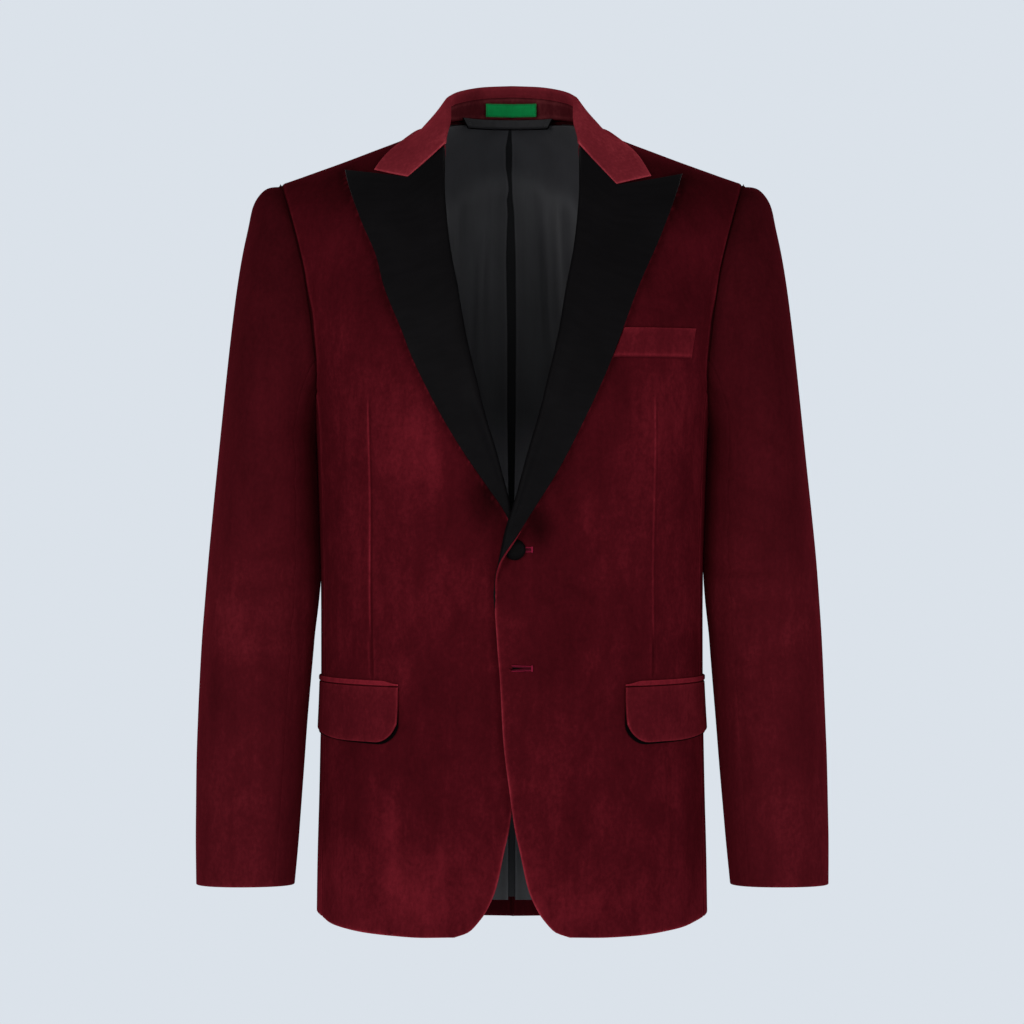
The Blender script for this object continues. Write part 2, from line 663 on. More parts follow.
def loop(s, t):
    s, t = np.broadcast_arrays(np.asarray(s, float), np.asarray(t, float))
    left_x, right_x, bottom, top, slant = LOOP
    x = left_x + (right_x - left_x) * s + slant * (1 - t) * (1 - 2 * s)
    z = bottom + (top - bottom) * t
    p = inside_back(x, np.minimum(z, 14.5) + 6.6, LINING_IN + LINING + 2.1 + 0 * s)
    return np.stack([p[..., 0], p[..., 1] - 1.9 - 1.4 * np.sin(np.pi * s), z], -1)


def label(s, t):
    s, t = np.broadcast_arrays(np.asarray(s, float), np.asarray(t, float))
    x0, x1, z0, z1 = LABEL_BOX
    x, z = x0 + (x1 - x0) * s, z0 + (z1 - z0) * t
    grid = np.linspace(0.6, 1, 200)
    f, out, centre, inside, down, neck = stand_way(grid)
    k = np.interp(np.abs(x), inside[::-1, 0], grid[::-1])
    f, out, centre, inside, down, neck = stand_way(k)
    w = (inside[..., 2] - z) / (inside[..., 2] - neck[..., 2])
    y = inside[..., 1] + (neck[..., 1] - inside[..., 1]) * w
    return np.stack([x, y - STAND - LABEL - 0.9, z], -1)


# ---------------------------------------------------------------- pockets: on the panels' own points, moved out
POCKET_START = float(angle_of(*POCKET_FRONT))


def pocket_line(s):
    return POCKET_START + (POCKET_REAR[0] - POCKET_START) * s, POCKET_FRONT[1] + (POCKET_REAR[1] - POCKET_FRONT[1]) * s


def flap(s, t):
    s, t = np.broadcast_arrays(np.asarray(s, float), np.asarray(t, float))
    a, z = pocket_line(s)
    drop = FLAP_DROP[0] + (FLAP_DROP[1] - FLAP_DROP[0]) * ramp(s, 0.35, 1)
    for d, r in ((s * POCKET_LENGTH, FLAP_CORNER[0]), ((1 - s) * POCKET_LENGTH, FLAP_CORNER[1])):
        k = np.clip(r - d, 0, r)
        drop = drop - (r - np.sqrt(r * r - k * k))
    down = 0.6 + (drop - 0.6) * t
    lean = 1.3 * (down / FLAP_DROP[0]) ** 2 * (1 - ramp(s, 0, 0.25))
    return on_body(a + lean, z - down, FLAP + 0.9 + 1.6 * (down / FLAP_DROP[0]))


def jet(s, t):
    s, t = np.broadcast_arrays(np.asarray(s, float), np.asarray(t, float))
    a, z = pocket_line(s)
    return on_body(a, z + 0.2 + JET_HEIGHT * t, JET + 0.6 + 0 * s)


def welt(s, t):
    s, t = np.broadcast_arrays(np.asarray(s, float), np.asarray(t, float))
    (ux0, uz0, ux1, uz1), (lx0, lz0, lx1, lz1) = WELT_BOX
    x = (1 - t) * (lx0 + (lx1 - lx0) * s) + t * (ux0 + (ux1 - ux0) * s)
    z = (1 - t) * (lz0 + (lz1 - lz0) * s) + t * (uz0 + (uz1 - uz0) * s)
    return on_front(x, z, WELT + 0.6 + 0 * x)


# ---------------------------------------------------------------- meshes from grids
FREE = (0.1, 0.32, 0.65, 1.05, 1.7, 2.8)  # rows near a rolled edge, mm from it
SEAMED = (0.25, 0.6, 1.0, 1.5, 2.2, 3.1, 4.3)  # rows near a seam
STEP = 3.4  # between other rows
FAINT, FAINT_LAP = 0.22, 0.85  # a seam lost in the pile: its depth, and how far its edges pass each other


def rows(length, start=(), end=(), step=None):
    """Shares of a length in mm: even rows, with others at the given distances from its ends."""
    lo, hi = max(start, default=0.0), length - max(end, default=0.0)
    mid = np.linspace(lo, hi, max(int(round((hi - lo) / (step or STEP))), 1) + 1)
    return np.unique(np.round(np.concatenate([[0], start, mid, length - np.asarray(end, float), [length]]), 4)) / length


def grid_normals(p, centre):
    """Unit normals of a grid of points, facing away from centre, a function of the points."""
    n = unit(np.cross(np.gradient(p, axis=1), np.gradient(p, axis=0)))
    return n * (1.0 if np.sum(n * (p - centre(p))) > 0 else -1.0)


def edge_distances(p):
    """Distance in mm of each point of a grid from its edges s=0, s=1, t=0 and t=1."""
    return [np.linalg.norm(p - np.take(p, [end], axis=axis), axis=-1) for axis, end in ((1, 0), (1, -1), (0, 0), (0, -1))]


def fill(mesh, verts, faces, inner, uv, tone):
    """Puts points (m), four-sided faces, their material numbers, UVs (m) and pile tone into a new mesh."""
    verts, faces = np.asarray(verts, np.float32), np.asarray(faces, np.int32)
    mesh.vertices.add(len(verts))
    mesh.vertices.foreach_set("co", verts.ravel())
    mesh.loops.add(faces.size)
    mesh.loops.foreach_set("vertex_index", faces.ravel())
    mesh.polygons.add(len(faces))
    mesh.polygons.foreach_set("loop_start", np.arange(0, faces.size, faces.shape[1], dtype=np.int32))
    mesh.polygons.foreach_set("loop_total", np.full(len(faces), faces.shape[1], np.int32))
    mesh.polygons.foreach_set("material_index", np.asarray(inner, np.int32))
    mesh.polygons.foreach_set("use_smooth", np.ones(len(faces), bool))
    if uv is not None:
        layer = mesh.uv_layers.new(name="cut")
        layer.data.foreach_set("uv", np.asarray(uv, np.float32)[faces.ravel()].ravel())
    attribute = mesh.attributes.new("tone", "FLOAT", "POINT")
    attribute.data.foreach_set("value", np.asarray(tone, np.float32))
    mesh.update(calc_edges=True)
    mesh.validate()


def object_of(name, mesh, mats):
    for m in mats:
        mesh.materials.append(m)
    o = bpy.data.objects.new(name, mesh)
    bpy.context.scene.collection.objects.link(o)
    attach(o, "root")
    return o


def shell(name, at, s, t, thick, mats, centre, sign=1, edges=("free",) * 4, field=None, tone=None, size=(300.0, 700.0), lined=None, extra=None, inner_tone=1.0):
    """A cloth: the grid at(s, t) moved by its folds, its seams dipped and its free edges rounded, with an inner face.

    edges are those at s=0, s=1, t=0 and t=1: free, seam, or seam with its own depth. field(p, gs, gt) gives the folds in mm,
    tone(p, n, d) the pile's brightness. lined(p, d) says which inner faces are the second material.
    """
    gs, gt = np.meshgrid(s, t)
    p = at(gs, gt)
    n = grid_normals(p, centre)
    d = edge_distances(p)
    off = np.zeros(gs.shape)
    if field is not None:
        off = off + field(p, gs, gt)
    for q, kind in zip(d, edges):
        if kind != "free":
            depth = 1.15 if kind == "seam" else kind
            off = off - depth * np.exp(-((q / 1.5) ** 1.3)) + 0.22 * min(depth, 1.0) * np.exp(-(((q - 3.6) / 1.5) ** 2))
    p = p + n * off[..., None]
    # each seamed edge runs on a little, so that it is shut against its neighbour
    for q, kind, axis, end in zip(d, edges, (1, 1, 0, 0), (0, -1, 0, -1)):
        if kind != "free":
            beyond = unit(np.take(p, [end], axis=axis) - np.take(p, [end + (1 if end == 0 else -1)], axis=axis))
            p = p + beyond * (FAINT_LAP if kind == FAINT else 0.4) * np.exp(-((q / 0.9) ** 2))[..., None]
    n = grid_normals(p, centre)
    thick = np.broadcast_to(np.asarray(thick(gs, gt) if callable(thick) else thick, float), gs.shape)
    drop = np.zeros(gs.shape)
    for q in d:
        r = thick / 2
        k = np.clip(r - q, 0, r)
        drop = np.maximum(drop, r - np.sqrt(np.clip(r * r - k * k, 0, None)))
    outer, inner = p - n * drop[..., None], p - n * (thick - drop)[..., None]
    rows_, cols = gs.shape
    index = np.arange(rows_ * cols).reshape(rows_, cols)
    under = index.copy()
    inside = np.zeros_like(index, bool)
    inside[1:-1, 1:-1] = True
    under[inside] = rows_ * cols + np.arange(inside.sum())
    verts = np.concatenate([outer.reshape(-1, 3), inner[inside]])
    shade = np.ones(gs.shape) if tone is None else tone(p, n, d)
    tones = np.concatenate([shade.ravel(), shade[inside] * inner_tone])
    u, v = gs * size[0] * MM, gt * size[1] * MM
    uv = np.stack([np.concatenate([u.ravel(), u[inside]]), np.concatenate([v.ravel(), v[inside]])], -1)

    def quads(i, turned):
        q = np.stack([i[:-1, :-1], i[:-1, 1:], i[1:, 1:], i[1:, :-1]], -1).reshape(-1, 4)
        return q[:, ::-1] if turned else q

    middle = (rows_ // 2, cols // 2)
    first = np.cross(outer[middle[0], middle[1] + 1] - outer[middle], outer[middle[0] + 1, middle[1]] - outer[middle])
    turned = (np.dot(first, n[middle]) < 0) ^ (sign < 0)
    faces = np.concatenate([quads(index, turned), quads(under, not turned)])
    which = np.zeros(len(faces), int)
    if lined is not None:
        mask = lined(p, d) & (np.minimum.reduce(d) > 4.0) & ((p[..., 2] < -80) | (np.abs(p[..., 0]) < 150))
        which[len(faces) // 2 :] = (mask[:-1, :-1] & mask[1:, 1:]).ravel()
    verts = verts * np.array([sign, 1, 1]) * MM
    mesh = bpy.data.meshes.new(name)
    if extra is not None:
        verts, faces, which, uv, tones = with_tubes(verts, faces, which, uv, tones, extra)
    fill(mesh, verts, faces, which, uv, tones)
    return object_of(name, mesh, mats)


def tube(path, radius, sides=6, flat=1.0):
    """Points and faces of a round thread through a path in mm, closed at its ends. radius may differ along it."""
    path = np.asarray(path, float)
    r = np.broadcast_to(np.asarray(radius, float), (len(path),))
    along_ = unit(np.gradient(path, axis=0))
    ref = np.array([0.0, 0.0, 1.0]) if abs(along_[len(path) // 2, 2]) < 0.8 else np.array([0.0, 1.0, 0.0])
    a = unit(np.cross(along_, ref))
    b = np.cross(along_, a)
    ang = np.linspace(0, 2 * np.pi, sides, endpoint=False)
    ring = path[:, None] + r[:, None, None] * (np.cos(ang)[None, :, None] * a[:, None] + flat * np.sin(ang)[None, :, None] * b[:, None])
    tips = np.stack([np.repeat(path[:1] - along_[:1] * r[0] * 0.35, sides, 0), np.repeat(path[-1:] + along_[-1:] * r[-1] * 0.35, sides, 0)])
    small = 0.55
    ends0 = tips[0] + (ring[0] - path[0]) * small
    ends1 = tips[1] + (ring[-1] - path[-1]) * small
    ring = np.concatenate([ends0[None], ring, ends1[None]])
    m = len(ring)
    idx = np.arange(m * sides).reshape(m, sides)
    nxt = np.roll(idx, -1, axis=1)
    faces = np.stack([idx[:-1], nxt[:-1], nxt[1:], idx[1:]], -1).reshape(-1, 4)
    caps = []
    for row, rev in ((0, True), (m - 1, False)):
        for k in range(1, sides // 2):
            f = [idx[row, k - 1], idx[row, k], idx[row, sides - 1 - k], idx[row, (sides - k) % sides]]
            caps.append(f[::-1] if rev else f)
    return ring.reshape(-1, 3), np.concatenate([faces, np.array(caps)])


def with_tubes(verts, faces, which, uv, tones, tubes):
    """Adds threads to a mesh's arrays."""
    for pts, quads_, mat in tubes:
        base = len(verts)
        verts = np.concatenate([verts, pts * MM])
        faces = np.concatenate([faces, quads_ + base])
        which = np.concatenate([which, np.full(len(quads_), mat)])
        uv = np.concatenate([uv, np.stack([pts[:, 0], pts[:, 2]], -1) * MM])
        tones = np.concatenate([tones, np.ones(len(pts))])
    return verts, faces, which, uv, tones


def threads(name, paths, radius, mat, sides=6):
    """Stitches: many short threads joined in one mesh."""
    verts, faces = [], []
    base = 0
    for path in paths:
        p, f = tube(path, radius, sides)
        verts.append(p)
        faces.append(f + base)
        base += len(p)
    verts, faces = np.concatenate(verts), np.concatenate(faces)
    mesh = bpy.data.meshes.new(name)
    fill(mesh, verts * MM, faces, np.zeros(len(faces), int), None, np.ones(len(verts)))
    return object_of(name, mesh, [mat])


# ---------------------------------------------------------------- folds, mm in or out of the cloth
def crease(u, v, a, b, width, depth, bow=0.0, shoulder=0.42, taper=0.3):
    """A soft trough from a to b with a low ridge on each side, uneven along its length; a negative depth is a ridge."""
    du, dv = b[0] - a[0], b[1] - a[1]
    length = math.hypot(du, dv)
    eu, ev = du / length, dv / length
    ru, rv = u - a[0], v - a[1]
    w = (ru * eu + rv * ev) / length
    off = -ru * ev + rv * eu - bow * 4 * w * (1 - w)
    seed = a[0] * 0.37 + b[1] * 0.11
    off = off + 0.22 * width * np.sin(6.3 * w + seed) + 0.1 * width * np.sin(17.0 * w + 2 * seed)
    k = width * (0.85 + 0.3 * np.sin(4.1 * w + seed * 1.7))
    ends = ramp(w, -0.04, taper) * (1 - ramp(w, 1 - taper, 1.04))
    return depth * ends * (shoulder * np.exp(-(((np.abs(off) - 1.8 * k) / (1.0 * k)) ** 2)) - np.exp(-((off / k) ** 2)))


def waves(u, v, seed=0.0):
    """Slow unevenness of hanging cloth, about -1 to 1."""
    return (
        0.5 * np.sin(u * 0.031 + v * 0.012 + 1.3 + seed)
        + 0.3 * np.sin(u * 0.067 - v * 0.021 + 4.1 + 2 * seed)
        + 0.2 * np.sin(u * 0.021 + v * 0.058 + 0.4 + 3 * seed)
    )


# Folds of the body, by girth from the front centre (2.75 mm a degree) and height: from, to, width, depth, bow.
# On the front those that show from the front; the back has similar ones.
GIRTH = 2.75
FRONT_FOLDS = {
    1: [
        ((14, -386), (92, -372), 7.0, 1.0, 4),
        ((14, -396), (84, -432), 7.5, 1.1, -4),
        ((20, -374), (74, -338), 6.5, 0.8, 3),
        ((26, -410), (66, -474), 9.0, 0.9, -5),
        ((62, -470), (54, -690), 12.0, 1.3, 6),
        ((104, -566), (98, -716), 11.0, 1.7, -4),
        ((138, -560), (146, -712), 10.0, 1.6, 3),
        ((172, -570), (170, -700), 9.0, 1.3, 2),
        ((176, -112), (190, -238), 10.0, 2.0, -6),
        ((150, -92), (168, -150), 9.0, 0.9, -4),
        ((86, -158), (122, -172), 6.0, 0.8, 3),
        ((84, -262), (112, -300), 8.0, 0.8, 4),
        ((196, -286), (158, -332), 8.0, 1.2, 4),
        ((200, -330), (160, -356), 7.0, 1.2, -3),
        ((202, -392), (150, -408), 8.0, 1.1, 4),
        ((30, -560), (24, -700), 12.0, 0.9, 5),
    ],
    -1: [
        ((16, -380), (88, -362), 7.0, 1.1, -3),
        ((14, -392), (96, -410), 7.0, 1.0, 4),
        ((22, -402), (78, -452), 8.0, 1.1, 5),
        ((24, -366), (66, -322), 7.0, 0.9, -4),
        ((70, -480), (64, -700), 13.0, 1.4, -7),
        ((112, -564), (118, -718), 10.0, 1.9, 4),
        ((146, -562), (140, -706), 9.0, 1.5, -3),
        ((174, -572), (178, -704), 9.0, 1.3, -3),
        ((176, -104), (188, -236), 10.0, 2.0, -5),
        ((146, -84), (164, -142), 8.0, 1.0, 4),
        ((80, -238), (104, -278), 8.0, 0.9, -4),
        ((198, -294), (156, -322), 8.0, 1.2, -4),
        ((200, -344), (162, -376), 7.5, 1.2, 4),
        ((200, -404), (156, -426), 8.0, 1.0, -4),
        ((34, -566), (40, -706), 12.0, 1.0, -4),
    ],
}
BACK_FOLDS = {
    1: [
        ((292, -262), (430, -336), 11.0, 2.0, 8),
        ((296, -300), (414, -384), 10.0, 1.7, -7),
        ((286, -352), (452, -372), 9.0, 1.6, 6),
        ((300, -398), (440, -412), 9.0, 1.3, -5),
        ((330, -122), (338, -250), 13.0, 2.3, 6),
        ((372, -92), (386, -232), 14.0, 1.3, -6),
        ((404, -26), (486, -34), 7.0, 0.9, -3),
        ((350, -480), (342, -724), 14.0, 2.2, 8),
        ((410, -460), (420, -716), 15.0, 2.0, -8),
        ((456, -500), (452, -724), 11.0, 1.4, 4),
        ((306, -520), (300, -714), 12.0, 1.8, -5),
    ],
    -1: [
        ((296, -254), (424, -322), 10.0, 1.9, -7),
        ((290, -310), (436, -366), 10.0, 1.8, 7),
        ((294, -366), (440, -392), 9.0, 1.5, -5),
        ((304, -412), (426, -436), 9.0, 1.1, 5),
        ((328, -112), (340, -246), 13.0, 2.2, -6),
        ((366, -84), (376, -226), 13.0, 1.2, 5),
        ((398, -30), (480, -24), 7.0, 0.9, 3),
        ((344, -500), (352, -722), 14.0, 2.0, -7),
        ((402, -470), (396, -720), 14.0, 2.2, 8),
        ((450, -480), (458, -722), 12.0, 1.3, -4),
        ((312, -540), (318, -716), 12.0, 1.6, 5),
    ],
}


def section_angle(p):
    x, y, z = p[..., 0], p[..., 1], p[..., 2]
    a = angle_of(x, z)
    mid = body_at(z)[..., 3]
    return np.where(y > mid, 180 - a, a)


def body_folds(p, sign):
    """The same field on front, side and back, so that it runs on over their seams."""
    a, z = section_angle(p), p[..., 2]
    u = a * GIRTH
    off = np.zeros(z.shape)
    for table in (FRONT_FOLDS[sign], BACK_FOLDS[sign]):
        for from_, to, width, depth, bow in table:
            off = off + crease(u, z, from_, to, width, depth, bow)
    low = 1 - ramp(z, -735, -560)
    off = off + low * (1.15 * np.sin(np.radians(a) * 9.0 + 0.8 * sign) + 0.7 * np.sin(np.radians(a) * 17.0 + 2.0 + sign)) * ramp(a, 6, 30)
    off = off + 0.55 * waves(u, z, sign) * ramp(a, 4, 20)
    off = off * (1 - 0.85 * ramp(z, -90, -30)) * (0.35 + 0.65 * (1 - np.exp(-(((a - 90) / 20.0) ** 2))))
    # the cloth is pulled flat where the button holds it, and nowhere dips behind the other front
    near = np.hypot(p[..., 0] - BUTTON_X, z - BUTTON_Z[0])
    return off * (1 - 0.6 * np.exp(-((near / 14.0) ** 2)))


DARTS = {1: ((128.2, -500.5), (130.6, -241.0)), -1: ((128.0, -501.0), (130.2, -242.5))}


def dart_offset(p, sign):
    """Signed distance from the dart's stitching and its share from the foot to the point."""
    (x0, z0), (x1, z1) = DARTS[sign]
    k = (p[..., 2] - z0) / (z1 - z0)
    x = x0 + (x1 - x0) * k + 0.5 * np.sin(k * 9.0 + sign)
    return p[..., 0] - x, k


def dart(p, sign):
    """The dart: a fine sunk line, deepest at the waist, the cloth slightly full on each side of it."""
    off, k = dart_offset(p, sign)
    live = ramp(k, -0.01, 0.02) * (1 - ramp(k, 0.86, 1.0)) * (p[..., 1] < 20)
    return live * (-0.95 * np.exp(-((np.abs(off) / 0.75) ** 1.5)) + 0.3 * np.exp(-(((np.abs(off) - 2.6) / 1.9) ** 2)))


# Folds of the sleeve, by degrees round it (1.35 mm a degree) and height.
ROUND = 1.35
SLEEVE_FOLDS = {
    1: [
        ((60, -300), (215, -246), 9.0, 1.5, 6),
        ((80, -338), (222, -292), 9.0, 1.7, -5),
        ((100, -372), (228, -344), 8.0, 1.8, 5),
        ((92, -404), (236, -392), 8.0, 2.0, -4),
        ((70, -428), (222, -440), 8.5, 1.7, 5),
        ((56, -452), (200, -488), 9.0, 1.4, -6),
        ((20, -402), (70, -446), 9.0, 0.9, 4),
        ((36, -520), (58, -684), 9.0, 1.0, 3),
        ((112, -536), (104, -690), 8.0, 1.1, -3),
        ((168, -520), (150, -672), 9.0, 1.2, 4),
        ((250, -330), (340, -300), 10.0, 1.2, 5),
        ((262, -470), (356, -430), 10.0, 1.1, -5),
        ((300, -560), (306, -690), 10.0, 1.1, 4),
        ((384, -530), (376, -690), 10.0, 0.9, -4),
        ((430, -380), (452, -520), 12.0, 0.9, 5),
    ],
    -1: [
        ((66, -310), (218, -258), 9.0, 1.5, -6),
        ((84, -350), (226, -312), 9.0, 1.6, 5),
        ((96, -384), (232, -362), 8.0, 1.9, -5),
        ((84, -416), (230, -412), 8.0, 1.9, 5),
        ((66, -440), (214, -458), 8.5, 1.6, -4),
        ((50, -470), (190, -506), 9.0, 1.3, 5),
        ((14, -396), (66, -428), 9.0, 1.0, -4),
        ((44, -512), (64, -690), 9.0, 1.1, -3),
        ((100, -548), (96, -688), 8.0, 1.1, 3),
        ((160, -530), (146, -680), 9.0, 1.1, -4),
        ((246, -340), (336, -316), 10.0, 1.2, -5),
        ((258, -460), (350, -412), 10.0, 1.2, 5),
        ((296, -566), (300, -688), 10.0, 1.0, -4),
        ((392, -520), (384, -684), 10.0, 1.0, 4),
        ((436, -360), (446, -500), 12.0, 0.9, -5),
    ],
}


def sleeve_folds(turn, p, t, sign):
    z = p[..., 2]
    t = np.clip(t, 0, 1)
    u = (turn % 360) * ROUND
    off = np.zeros(z.shape)
    for from_, to, width, depth, bow in SLEEVE_FOLDS[sign]:
        for lap in (-360 * ROUND, 0, 360 * ROUND):
            off = off + crease(u + lap, z, from_, to, width, depth, bow)
    off = off + 0.7 * np.sin(np.radians(turn) * 3 + z * 0.018 + sign) * ramp(-z, 260, 420) * 0.6
    # ease of the sleeve head: fine puckers that fade below its seam
    head = np.exp(-((t / 0.045) ** 1.4)) * np.cos(np.radians(turn)).clip(0, 1) ** 0.5
    off = off + 0.3 * head * np.sin(np.radians(turn) * 26 + 1.1 * np.sin(np.radians(turn) * 5))
    outer = np.cos(np.radians(turn)).clip(0, 1)
    off = off + 0.5 * np.exp(-(((t - 0.05) / 0.03) ** 2)) * outer
    off = off + (2.8 * np.exp(-(((z + 62) / 16) ** 2)) - 0.9 * np.exp(-(((z + 42) / 7) ** 2))) * outer**1.5
    off = off + 3.0 * np.exp(-((((turn % 360) - 180) / 42.0) ** 2)) * ramp(-z, 236, 262) * (1 - ramp(-z, 400, 470))
    return off * ramp(t, 0.0, 0.02) - 2.9 * np.exp(-(((z + 42) / 5.5) ** 2)) * outer**1.5 * ramp(t, 0.002, 0.014)


# ---------------------------------------------------------------- the pile's brightness
# Velvet is brighter or darker where its nap was brushed. Soft patches: x, z, half width, half height, share brighter,
# and on the sleeves the same by degrees round them.
PATCHES = {
    1: [
        (140, -262, 30, 44, 0.20), (58, -476, 42, 60, -0.20), (110, -700, 60, 30, 0.06), (70, -268, 26, 44, 0.10), (118, -330, 30, 60, 0.08), (58, -330, 20, 40, -0.06), (150, -150, 26, 40, -0.12), (40, -420, 26, 50, -0.08),
        (92, -590, 26, 46, -0.10), (30, -640, 24, 60, 0.06), (120, -640, 20, 60, -0.12), (60, -700, 60, 26, 0.06), (150, -600, 18, 60, 0.08),
        (84, -196, 12, 26, -0.10), (30, -520, 26, 44, 0.05), (160, -420, 14, 70, 0.06), (110, -440, 16, 50, -0.07), (74, -482, 20, 24, 0.10),
    ],
    -1: [
        (72, -300, 20, 30, 0.26), (84, -270, 26, 40, 0.10), (128, -330, 22, 60, 0.10), (150, -240, 18, 40, 0.08), (140, -140, 30, 40, -0.08),
        (44, -366, 22, 30, -0.14), (70, -420, 26, 60, 0.05), (132, -440, 16, 50, -0.10), (96, -560, 24, 40, -0.08), (142, -590, 13, 60, -0.18),
        (112, -620, 16, 50, 0.08), (64, -690, 50, 40, 0.14), (28, -560, 20, 60, -0.08), (160, -640, 12, 60, 0.12), (130, -66, 40, 40, 0.14),
    ],
}
SLEEVE_PATCHES = {
    1: [(40, -180, 26, 60, -0.12), (80, -330, 26, 60, -0.04), (60, -470, 20, 44, 0.12), (100, -420, 20, 60, -0.02), (70, -560, 22, 40, -0.06), (90, -620, 22, 50, 0.10), (40, -640, 20, 60, 0.05)],
    -1: [(40, -190, 26, 70, -0.12), (70, -340, 26, 60, -0.03), (64, -452, 22, 40, 0.14), (96, -450, 16, 60, -0.04), (60, -520, 18, 40, -0.10), (100, -600, 22, 50, 0.10), (48, -620, 20, 60, 0.06)],
}


def patches(u, z, table):
    out = np.zeros(z.shape)
    for cu, cz, w, h, amount in table:
        out = out + amount * np.exp(-(((u - cu) / w) ** 2 + ((z - cz) / h) ** 2))
    return out


def edge_light(d, edges, bright=0.55, width=1.1):
    """Pile stands up and catches light along rolled edges, and lies dark in the ditch of a seam with a bright line beside it."""
    out = np.zeros(d[0].shape)
    for q, kind in zip(d, edges):
        if kind == FAINT:
            continue
        if kind == "free":
            out = out + bright * np.exp(-((q / width) ** 2)) + 0.10 * np.exp(-((q / 5.0) ** 2))
        else:
            out = out - 0.42 * np.exp(-((q / 1.1) ** 2)) + 0.24 * np.exp(-(((q - 2.9) / 1.4) ** 2)) + 0.05 * np.exp(-((q / 9.0) ** 2))
    return out


def body_tone(sign, edges, front_side):
    def tone(p, n, d):
        x, z = p[..., 0], p[..., 2]
        v = 1.0 - 0.22 * np.clip(n[..., 2], 0, 1) ** 1.3 - 0.26 * ramp(z, -120, -40)
        v = v + 0.16 * (1 - ramp(z, -735, -600)) - 0.05 * ramp(z, -330, -150)
        if front_side:
            v = v + patches(x, z, PATCHES[sign])
            # the pile lies dark where the lapel hangs over it
            line = along(LAPEL_EDGE[sign])(np.linspace(0, 1, 90))
            near = np.full(x.shape, 1e9)
            for lx, lz in line:
                near = np.minimum(near, np.hypot(x - lx, z - lz))
            v = v - 0.24 * np.exp(-((near / 6.0) ** 2)) - 0.12 * np.exp(-((near / 24.0) ** 2)) + 0.8 * np.exp(-((near / 1.7) ** 2))
            if sign > 0:
                v = v - 0.50 * np.exp(-(((x - 25) / 13) ** 2) - (((z + 365) / 19) ** 2))
            else:
                v = v - 0.44 * np.exp(-(((x - 23) / 15) ** 2) - (((z + 340) / 24) ** 2))
            off, k = dart_offset(p, sign)
            live = ramp(k, -0.01, 0.02) * (1 - ramp(k, 0.93, 1.02))
            low = 1 - ramp(k, 0.10, 0.22)
            v = v + live * ((0.55 - 0.75 * low) * np.exp(-(((off * sign + 0.5) / 0.85) ** 2)) - 0.22 * np.exp(-(((off * sign - 1.4) / 0.9) ** 2)) + 0.16 * low * np.exp(-(((np.abs(off) - 2.4) / 1.2) ** 2)))
        else:
            v = v + patches(x + 20 * sign, z, PATCHES[-sign])
        return np.clip(v + edge_light(d, edges, 0.95 if front_side else 0.55, 1.5), 0.3, 2.2)

    return tone


def sleeve_tone(sign, edges):
    def tone(p, n, d):
        q = sleeve_at(np.clip(p[..., 2], -692, -282))
        cx, cy = (q[..., 0] + q[..., 1]) / 2, (q[..., 2] + q[..., 3]) / 2
        turn = np.degrees(np.arctan2(-(p[..., 1] - cy), p[..., 0] - cx)) % 360
        v = 0.95 - 0.16 * np.clip(n[..., 2], 0, 1) - 0.24 * ramp(p[..., 2], -470, -160) - 0.10 * ramp(p[..., 2], -120, -50)
        v = v + patches(turn, p[..., 2], SLEEVE_PATCHES[sign]) + patches(turn - 180, p[..., 2], SLEEVE_PATCHES[-sign])
        seam = p[..., 2] * 0 + d[2] - LAP_IN
        v = v - 0.25 * np.exp(-((seam / 1.1) ** 2)) - 0.14 * np.exp(-((seam / 7.0) ** 2))
        return np.clip(v + edge_light(d, edges, 0.35), 0.3, 2.0)

    return tone


def plain_tone(value, edges, bright=0.45):
    return lambda p, n, d: np.clip(value + edge_light(d, edges, bright), 0.3, 2.2)


# ---------------------------------------------------------------- materials
def graph(name):
    m = bpy.data.materials.new(name)
    m.use_nodes = True
    nt = m.node_tree
    return m, nt, nt.nodes["Principled BSDF"]


def node(nt, kind, inputs=(), **settings):
    n = nt.nodes.new(kind)
    for k, v in settings.items():
        setattr(n, k, v)
    for k, v in dict(inputs).items():
        if isinstance(v, bpy.types.NodeSocket):
            nt.links.new(v, n.inputs[k])
        else:
            n.inputs[k].default_value = v
    return n


def stretched(nt, source, scale):
    return node(nt, "ShaderNodeMapping", {"Vector": source, "Scale": scale}).outputs["Vector"]


def noise(nt, vector, scale, detail=3.0, rough=0.55, distortion=0.0):
    n = node(nt, "ShaderNodeTexNoise", {"Vector": vector, "Scale": scale, "Detail": detail, "Roughness": rough, "Distortion": distortion})
    return n.outputs["Fac"]


def ranged(nt, value, a, b, lo, hi):
    return node(nt, "ShaderNodeMapRange", {"Value": value, "From Min": a, "From Max": b, "To Min": lo, "To Max": hi}).outputs["Result"]


def maths(nt, operation, a, b):
    return node(nt, "ShaderNodeMath", {0: a, 1: b}, operation=operation).outputs["Value"]


def ramped(nt, value, stops):
    n = node(nt, "ShaderNodeValToRGB", {"Fac": value})
    ramp_ = n.color_ramp
    while len(ramp_.elements) < len(stops):
        ramp_.elements.new(0.5)
    for e, (at, colour) in zip(ramp_.elements, stops):
        e.position = at
        e.color = (*colour, 1.0)
    return n.outputs["Color"]


